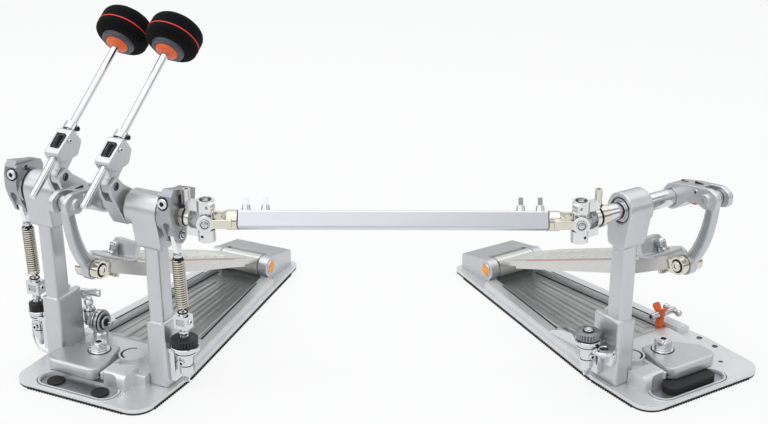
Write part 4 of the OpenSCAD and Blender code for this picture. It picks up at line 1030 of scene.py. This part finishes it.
def felt_head(x, word):
    start = beater_frame(x) @ shift(0, FELT_Y, BEATER_Z)
    edge = 9
    r = 28.5
    thick = 30
    profile = [(4.1, 0), (10, 0), (14, 0), (r - edge * 1.2, 0)]
    for k in range(9):
        a = math.radians(-90 + 90 * k / 8)
        profile.append((r - edge + edge * math.cos(a), edge * 0.8 + edge * 0.8 * math.sin(a)))
    profile += [(r, z) for z in (9.5, 12, 14.5, 17, 19)]
    for k in range(9):
        a = math.radians(90 * k / 8)
        profile.append((r - edge + edge * math.cos(a), thick - edge + edge * math.sin(a)))
    profile += [(14, thick), (8, thick), (0.05, thick), (0.05, 18), (4.1, 18)]
    kit = Kit()
    kit.lathe(profile, n=96)
    for v in kit.bm.verts:
        flat = Vector((v.co.x, v.co.y, 0))
        if flat.length > 9:
            v.co += unit(flat) * 0.22 * noise.noise(v.co * 0.9)
            v.co.z += 0.18 * noise.noise(v.co * 0.8 + Vector((7, 3, 5)))
    # Red ring sewn round the felt
    kit.lathe([(27.4, 10.9), (28.75, 11.0), (28.9, 11.6), (28.75, 12.2), (27.4, 12.3)], 1, n=96)
    piece(word + "_felt", kit, body_of(word + "_beater_felt"), [FELT, RED], "felt", place=start @ Y_UP,
          replaces=(word + "_beater_felt",), sharp=50)
    core = Kit()
    core.lathe([(4.05, 0.1), (18, 0.1), (18, 1.4), (17.2, 3.2), (16.4, 4), (12.9, 4), (12.6, 3.4),
                (4.05, 3.4)], n=64)
    core.lathe([(4.05, 3.0), (12.2, 3.0), (12.2, 4.6), (11.0, 6.2), (8.8, 6.8), (8.2, 6.3), (7.4, 6.3),
                (6.6, 7.2), (5.0, 7.9), (4.05, 7.9)], 1, n=64)
    piece(word + "_core", core, body_of(word + "_beater_core"), [GREY, ORANGE], "grey_plastic",
          place=start @ Y_DOWN, replaces=(word + "_beater_core",))


for side, word in SIDES:
    x = side * BEATER_X
    carry_cast(word + "_hub", ALU, "cast_aluminium", 0.6, 3)
    carry_cast(word + "_hub_head", ALU, "cast_aluminium", 0.55, 2)
    shaft = Kit()
    shaft.lathe([(AXIS, -39), (3.4, -39), (4, -38.4), (4, 176.4), (3.4, 177), (AXIS, 177)])
    shaft.lathe([(3.9, 42.3), (7.1, 42.3), (7.5, 42.7), (7.5, 49.9), (7.1, 50.3), (3.9, 50.3)])
    piece(word + "_shaft_rod", shaft, body_of(word + "_beater_shaft"), CHROME, "chrome",
          place=beater_frame(x) @ SHAFT_LINE, replaces=(word + "_beater_shaft",))
    hub_trim(x, word)
    felt_head(x, word)

# Axles and universal joints
carry("left_axle", CHROME, "chrome", 0.4)
carry("right_axle", [NICKEL, SILVER], "nickel", 0.5, place=MAIN, rule=lambda p: 1 if p.x > 111 else 0)
carry("slave_axle", [CHROME, NICKEL, SILVER], "nickel", 0.5, place=SLAVE,
      rule=lambda p: 2 if p.x > 111 else (1 if p.x > 97 else 0))
carry("drive_forks", [NICKEL, SILVER], "nickel", 0.5, place=DRIVE,
      rule=lambda p: 1 if p.x < 9 or p.x > 357 else 0)
carry("main_cross", SILVER, "nickel", 0.5)
carry("slave_cross", SILVER, "nickel", 0.5)
carry("drive_tube", TUBE_METAL, "drive_aluminium", 0.5)
carry("key_bolts", CHROME, "chrome", 0.5)


def joint_trim(at, node, tag):
    """Dark rings of painted shade in the gaps and holes, and set screws of an axle's half of the universal
    joint.
    """
    kit = Kit()
    mid = at @ shift(JOINT_X, 0, AXLE_H)
    for z0, z1 in ((9.1, 9.9), (-9.9, -9.1)):
        kit.ring(3.9, 8.5, z0, z1, 0, mid)
    for z, way in ((21.2, HERE), (-21.2, turn("X", 180))):
        spot = mid @ shift(0, 0, z) @ way
        kit.ring(4.4, 6.0, 0, 0.5, 0, spot, n=36)
    kit.ring(9.2, 10.4, -0.5, 0.2, 0, at @ shift(108.9, 0, AXLE_H) @ X_UP, n=44)
    collar = at @ shift(104.4, 0, AXLE_H) @ X_UP
    kit.ring(9.8, 10.42, 0, 0.6, 0, collar, n=44)
    kit.ring(3.75, 4.6, 0, 1.2, 0, at @ shift(108.4, 0, AXLE_H + 11.5), n=28)
    kit.ring(AXIS, 1.5, 0, 0.4, 0, at @ shift(JOINT_X, -8.6, AXLE_H - 15) @ Y_DOWN, n=20)
    piece(tag + "_joint_rings", kit, body_of(node), BLACK_AND_SHADE, "black_rubber")


joint_trim(MAIN, "right_axle", "main")
joint_trim(SLAVE, "slave_axle", "slave")


def cross_trim(at, node):
    """Pin ends, dark lines of painted shade round them, and caps at the front and back of a cross."""
    kit = Kit()
    for side in (-1, 1):
        spot = at @ shift(0, side * 13.9, 0) @ turn("X", -90 * side)
        kit.lathe([(AXIS, 0), (3.2, 0), (3.2, 0.6), (2.6, 1.0), (AXIS, 1.1)], 0, spot, n=32)
        kit.ring(3.3, 4.0, 0, 0.55, 1, spot, n=32)
        kit.lathe([(4.0, -1.0), (5.15, -1.0), (5.15, 0.4), (4.9, 0.8), (4.0, 0.8)], 0, spot, n=32)
    piece(node + "_pins", kit, body_of(node), [STEEL, BLACK_AND_SHADE], "bearing_steel")


cross_trim(DRIVE, "main_cross")
cross_trim(DRIVE @ shift(SHAFT_LEN, 0, 0), "slave_cross")


def tube_trim():
    """Dark lines near both ends of the square drive tube."""
    kit = Kit()
    half = 8.75
    wide = 0.9
    roll = Matrix.Rotation(math.radians(-31), 2)
    corners = ((half, half), (-half, half), (-half, -half), (half, -half))
    outline = rounded([roll @ Vector(p) for p in corners], 2, 4)
    for x in (31, SHAFT_LEN - 31 - wide):
        band(kit, [p * 1.008 for p in outline], [p * 0.9 for p in outline], x, x + wide, place=YZ)
    piece("drive_tube_lines", kit, body_of("drive_tube"), BLACK_AND_SHADE, "black_rubber", place=DRIVE)


tube_trim()

# Side adjuster of the hoop clamp, round its upright screw
SCREW_AT = shift(-55, 36, 0)


def adjuster():
    """Housing, screw wheels and arm of the side adjuster."""
    kit = Kit()
    at = shift(-55, 38, 36) @ X_UP
    kit.lathe([(AXIS, -0.5), (6, -0.5), (9.5, 1.5), (11.5, 4.5), (11.5, 7), (AXIS, 7)], 0, at, n=44)
    # Rings of material 1 are near-black necks between the wheels: painted shade in their gaps
    for r, z0, z1, mat in ((10, 6.9, 8.2, 1), (13.0, 8.2, 10.6, 0), (11, 10.5, 12.0, 1),
                           (13.6, 12.0, 15.6, 0),
                           (11.6, 15.5, 16.6, 1), (12.0, 16.6, 18.0, 2), (8.6, 17.9, 19.0, 1),
                           (7.4, 18.9, 20.6, 0), (4.4, 20.5, 21.4, 1), (1.4, 21.0, 27.2, 0),
                           (2.8, 27.0, 28.4, 0)):
        edge = min(0.6, (z1 - z0) / 3)
        kit.lathe([(AXIS, z0), (r - edge, z0), (r, z0 + edge), (r, z1 - edge), (r - edge, z1),
                   (AXIS, z1)], mat, at, n=44)
    kit.lathe([(AXIS, BRIDGE_TOP - 0.5), (8.5, BRIDGE_TOP - 0.5), (8.5, 22), (7, 24), (5.6, 26),
               (5.6, 34), (AXIS, 34)], 0, shift(-44, 38, 0), n=36)
    kit.prism(rounded(box(-58, -47, 32, 42), 2.5, 4), 33, 48, 0, edge=1.5)
    kit.lathe([(3.15, 32), (6.6, 32), (7, 32.6), (7, 51.2), (6.4, 52), (3.15, 52)], 0, SCREW_AT, n=36)
    # Near-black lines on the screw's sleeve: painted shade in its gaps
    for z in (35.4, 48.4):
        kit.ring(6.8, 7.2, z, z + 1, 1, SCREW_AT, n=36)
    piece("adjuster_wheels", kit, body_of("adjuster_body"), [CHROME, BLACK_AND_SHADE, STEEL], "chrome", place=MAIN,
          replaces=("adjuster_body",), bevel=0.4)


adjuster()


def wing_lever():
    """Cast lever with two blades on the adjuster's screw."""
    kit = Kit()
    kit.lathe([(AXIS, 34), (2.6, 34), (3, 34.5), (3, 55), (5, 55.2), (5.5, 56), (5.5, 59.2), (4.6, 60),
               (4, 63), (AXIS, 64)], n=32)
    for blade in (((-9, 67, 4.0, 3.0), (-5, 68.4, 5.2, 3.4), (2, 69.6, 4.4, 2.6), (10, 71.2, 4.6, 2.2),
                   (15.6, 72.2, 5.6, 2.2), (17, 72.4, 5.0, 1.4)),
                  ((-10, 63.5, 2.6, 1.6), (-7, 63.5, 4.2, 2.6), (-1, 62, 4.4, 3.2),
                   (4.5, 60.5, 3.2, 2.2))):
        rings = [[(x, deep * math.cos(TAU * k / 16), z + high * math.sin(TAU * k / 16)) for k in range(16)]
                 for x, z, high, deep in blade]
        kit.loft(rings, 0)
    piece("adjuster_lever", kit, body_of("adjuster_wing"), BRIGHT, "chrome", place=MAIN @ SCREW_AT,
          replaces=("adjuster_wing",), sharp=60)


wing_lever()

# Drum key in its clip
carry("stored_key", [STEEL, BLACK_AND_SHADE], "chrome", 0.4)


def key_clip():
    """Spring clip with three wings round the key."""
    at = SLAVE @ shift(-38, 62, 26) @ Matrix.Diagonal((-1, 1, 1, 1))
    kit = Kit()
    kit.lathe([(3.86, 12), (4.9, 12), (5.1, 12.5), (5.1, 16.5), (4.9, 17), (3.86, 17)], 0, X_UP, n=36)
    for a in (38, 322, 180):
        wing = turn("X", a) @ shift(0, 0, 4.6)
        outline = rounded([(9.5, 0), (18.5, 0), (19.6, 9.6), (8.6, 9.6)], [0, 0, 3.4, 3.4], 5)
        kit.prism(outline, -1.1, 1.1, 0, place=wing @ turn("X", 90), edge=0.5)
    kit.prism(rounded(box(11, 18, -4, 4), 1.5, 4), PLATE_TOP - 26, -3.9, 0, edge=0.5)
    piece("key_clip_wings", kit, body_of("key_clip"), ORANGE, "orange", place=at, replaces=("key_clip",))


key_clip()


# Floor, light and camera
FLOOR_SIZE = 9.0


def floor():
    mesh = bpy.data.meshes.new("floor")
    corners = box(-FLOOR_SIZE, FLOOR_SIZE, -FLOOR_SIZE, FLOOR_SIZE)
    mesh.from_pydata(raised(corners, 0), [], [(0, 1, 2, 3)])
    obj = bpy.data.objects.new("floor", mesh)
    obj.location.z = -0.0003
    bpy.context.scene.collection.objects.link(obj)
    mat = bpy.data.materials.new("floor")
    mat.use_nodes = True
    tree = mat.node_tree
    tree.nodes.clear()
    diffuse = add_node(tree, "BsdfDiffuse", (0.82, 0.82, 0.82, 1))
    glow = add_node(tree, "Emission", (1, 1, 1, 1), 1.0)
    path = tree.nodes.new("ShaderNodeLightPath").outputs
    seen = add_node(tree, "Math", path["Is Camera Ray"], path["Is Glossy Ray"], operation="MAXIMUM")
    share = add_node(tree, "Math", seen, 0.82, operation="MULTIPLY")
    out = tree.nodes.new("ShaderNodeOutputMaterial")
    tree.links.new(add_node(tree, "MixShader", share, diffuse, glow), out.inputs["Surface"])
    mesh.materials.append(mat)


def world():
    scene = bpy.context.scene
    scene.world = bpy.data.worlds.new("studio")
    scene.world.use_nodes = True
    tree = scene.world.node_tree
    tree.nodes.clear()
    light = add_node(tree, "Background", (0.93, 0.96, 1.0, 1), 0.55)
    # Metal mirrors a studio with bright and darker bands of sky
    coords = tree.nodes.new("ShaderNodeTexCoord")
    parts = tree.nodes.new("ShaderNodeSeparateXYZ")
    tree.links.new(coords.outputs["Generated"], parts.inputs["Vector"])
    greys = ((0.0, 0.52), (0.10, 0.28), (0.22, 0.34), (0.30, 0.98), (0.52, 0.92), (0.62, 0.50),
             (0.80, 0.55), (0.92, 1.0))
    bands = ramp(tree, parts.outputs["Z"], [(at, (grey,) * 3) for at, grey in greys])
    mirror = add_node(tree, "Background", bands, 0.95)
    white = add_node(tree, "Background", (1, 1, 1, 1), 1.0)
    path = tree.nodes.new("ShaderNodeLightPath").outputs
    seen = add_node(tree, "Math", path["Is Camera Ray"], path["Is Transmission Ray"], operation="MAXIMUM")
    glossy = add_node(tree, "MixShader", path["Is Glossy Ray"], light, mirror)
    out = tree.nodes.new("ShaderNodeOutputWorld")
    tree.links.new(add_node(tree, "MixShader", seen, glossy, white), out.inputs["Surface"])


def area_lamp(name, at, aim, size, power):
    data = bpy.data.lights.new(name, "AREA")
    data.shape = "RECTANGLE"
    data.size, data.size_y = size
    data.energy = power
    obj = bpy.data.objects.new(name, data)
    obj.location = at
    obj.rotation_mode = "QUATERNION"
    obj.rotation_quaternion = (Vector(aim) - Vector(at)).to_track_quat("-Z", "Y")
    bpy.context.scene.collection.objects.link(obj)


def camera():
    data = bpy.data.cameras.new("camera")
    data.sensor_fit = "HORIZONTAL"
    data.sensor_width = 36.0
    data.lens = 64.156
    data.shift_y = 0.0475
    obj = bpy.data.objects.new("camera", data)
    obj.location = (0.3019, -1.2945, 0.7143)
    obj.rotation_euler = (math.radians(90 - 23.65), 0, math.radians(0.48))
    bpy.context.scene.collection.objects.link(obj)
    bpy.context.scene.camera = obj


floor()
world()
MIDDLE = (0.30, 0.0, 0.12)
area_lamp("key", (-0.9, -1.1, 1.9), MIDDLE, (3.6, 3.0), 28)
area_lamp("fill", (1.7, -0.9, 1.3), MIDDLE, (1.6, 1.2), 2)
area_lamp("top", (0.3, 0.5, 2.1), MIDDLE, (4.0, 3.0), 30)
camera()

bpy.context.scene.view_settings.view_transform = "Standard"
